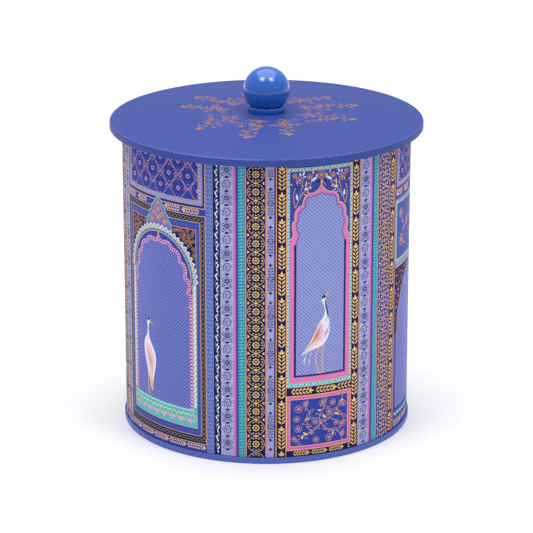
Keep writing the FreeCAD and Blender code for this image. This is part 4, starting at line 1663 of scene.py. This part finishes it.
def turned_solid(name, outline, sides=128):
    """A closed solid of revolution from an outline that starts and ends on the axis."""
    bm = bmesh.new()
    rings = []
    for r, z in outline:
        if r < 1e-6:
            rings.append([bm.verts.new((0, 0, z * MM))])
        else:
            rings.append([bm.verts.new((r * MM * math.cos(math.tau * i / sides),
                                        r * MM * math.sin(math.tau * i / sides), z * MM))
                          for i in range(sides)])
    for a, b in zip(rings, rings[1:]):
        for i in range(sides):
            j = (i + 1) % sides
            if len(a) == 1:
                bm.faces.new((a[0], b[j], b[i]))
            elif len(b) == 1:
                bm.faces.new((a[i], a[j], b[0]))
            else:
                bm.faces.new((a[i], a[j], b[j], b[i]))
    for face in bm.faces:
        face.smooth = True
    bmesh.ops.recalc_face_normals(bm, faces=bm.faces[:])
    mesh = bpy.data.meshes.new(name)
    bm.to_mesh(mesh)
    bm.free()
    made = bpy.data.objects.new(name, mesh)
    bpy.context.scene.collection.objects.link(made)
    return made


def knob_outline():
    foot = KNOB_BOTTOM
    line = [(0, foot), (5.0, foot), (FOOT_R - 0.5, foot), (FOOT_R - 0.12, foot + 0.12),
            (FOOT_R, foot + 0.4), (FOOT_R, foot + FOOT_H - 0.35), (FOOT_R - 0.1, foot + FOOT_H - 0.12),
            (FOOT_R - 0.35, foot + FOOT_H), (FOOT_R - 0.6, foot + FOOT_H + 0.1)]
    start = -math.acos((FOOT_R - 0.55) / BALL_R)
    for k in range(41):
        a = start + (math.pi / 2 - start) * k / 40
        line.append((BALL_R * math.cos(a), BALL_Z + BALL_R * math.sin(a)))
    line[-1] = (0, KNOB_TOP)
    return line


knob_ball = turned_solid("knob_ball", knob_outline())
knob_ball.data.materials.append(knob_material())
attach(knob_ball, "lid")
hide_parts("knob")

# The fixings: a brass insert moulded into the ball, and a zinc-plated pan-head screw with a
# flat washer that holds the ball from inside the lid.


def turned_metal(name, colour, low, high):
    mat, tree, shader = new_material(name, low, 1.0)
    rings = noise(tree, 900, 3, (0.4, 0.4, 3.0))
    tree.links.new(blend(tree, rings, shade(colour, 0.86), shade(colour, 1.06)),
                   shader.inputs["Base Color"])
    roughen(tree, shader, 1200, 3, low, high)
    bump(tree, shader, rings, 0.12, 0.0001)
    return mat


give("knob_insert", turned_metal("turned_brass", rgb(204, 168, 96), 0.26, 0.42))
zinc = turned_metal("zinc_plate", rgb(188, 192, 198), 0.24, 0.40)
give("knob_screw", zinc)
give("knob_washer", zinc)

# The stage: a plain pale floor and a white room, with a small soft box each side above the
# knob and a broad soft ceiling light. The camera looks down a little from in front.
CAMERA_PLACE = (0.0, -1.32, 0.5144)
CAMERA_PITCH = 0.3163
floor_mesh = bpy.data.meshes.new("floor")
floor_mesh.from_pydata([(-4, -4, 0), (4, -4, 0), (4, 6, 0), (-4, 6, 0)], [], [(0, 1, 2, 3)])
floor = bpy.data.objects.new("floor", floor_mesh)
bpy.context.scene.collection.objects.link(floor)
pale, _, pale_shader = new_material("pale_floor", 0.9, 0.0, 0.1)
pale_shader.inputs["Base Color"].default_value = rgb(250, 250, 251)
floor_mesh.materials.append(pale)

world = bpy.data.worlds.new("studio")
world.use_nodes = True
backdrop = world.node_tree.nodes["Background"]
backdrop.inputs["Color"].default_value = (1.0, 1.0, 1.0, 1.0)
backdrop.inputs["Strength"].default_value = 0.5
bpy.context.scene.world = world


def soft_box(name, place, target, size, power):
    lamp = bpy.data.lights.new(name, "AREA")
    lamp.shape = "SQUARE"
    lamp.size = size
    lamp.energy = power
    box = bpy.data.objects.new(name, lamp)
    box.location = place
    box.rotation_euler = (Vector(target) - Vector(place)).to_track_quat("-Z", "Y").to_euler()
    bpy.context.scene.collection.objects.link(box)


soft_box("left_box", (-0.305, -0.35, 1.07), (0, 0, 0.17), 0.26, 2.2)
soft_box("right_box", (0.358, -0.35, 1.06), (0, 0, 0.17), 0.26, 2.2)
soft_box("ceiling", (0, 0.8, 3.2), (0, 0.8, 0), 4.0, 90.0)

camera_data = bpy.data.cameras.new("camera")
camera_data.sensor_width = 36.0
camera_data.lens = 175.2
camera = bpy.data.objects.new("camera", camera_data)
camera.location = CAMERA_PLACE
camera.rotation_euler = (math.pi / 2 - CAMERA_PITCH, 0, 0)
bpy.context.scene.collection.objects.link(camera)
bpy.context.scene.camera = camera
bpy.context.scene.view_settings.view_transform = "Standard"
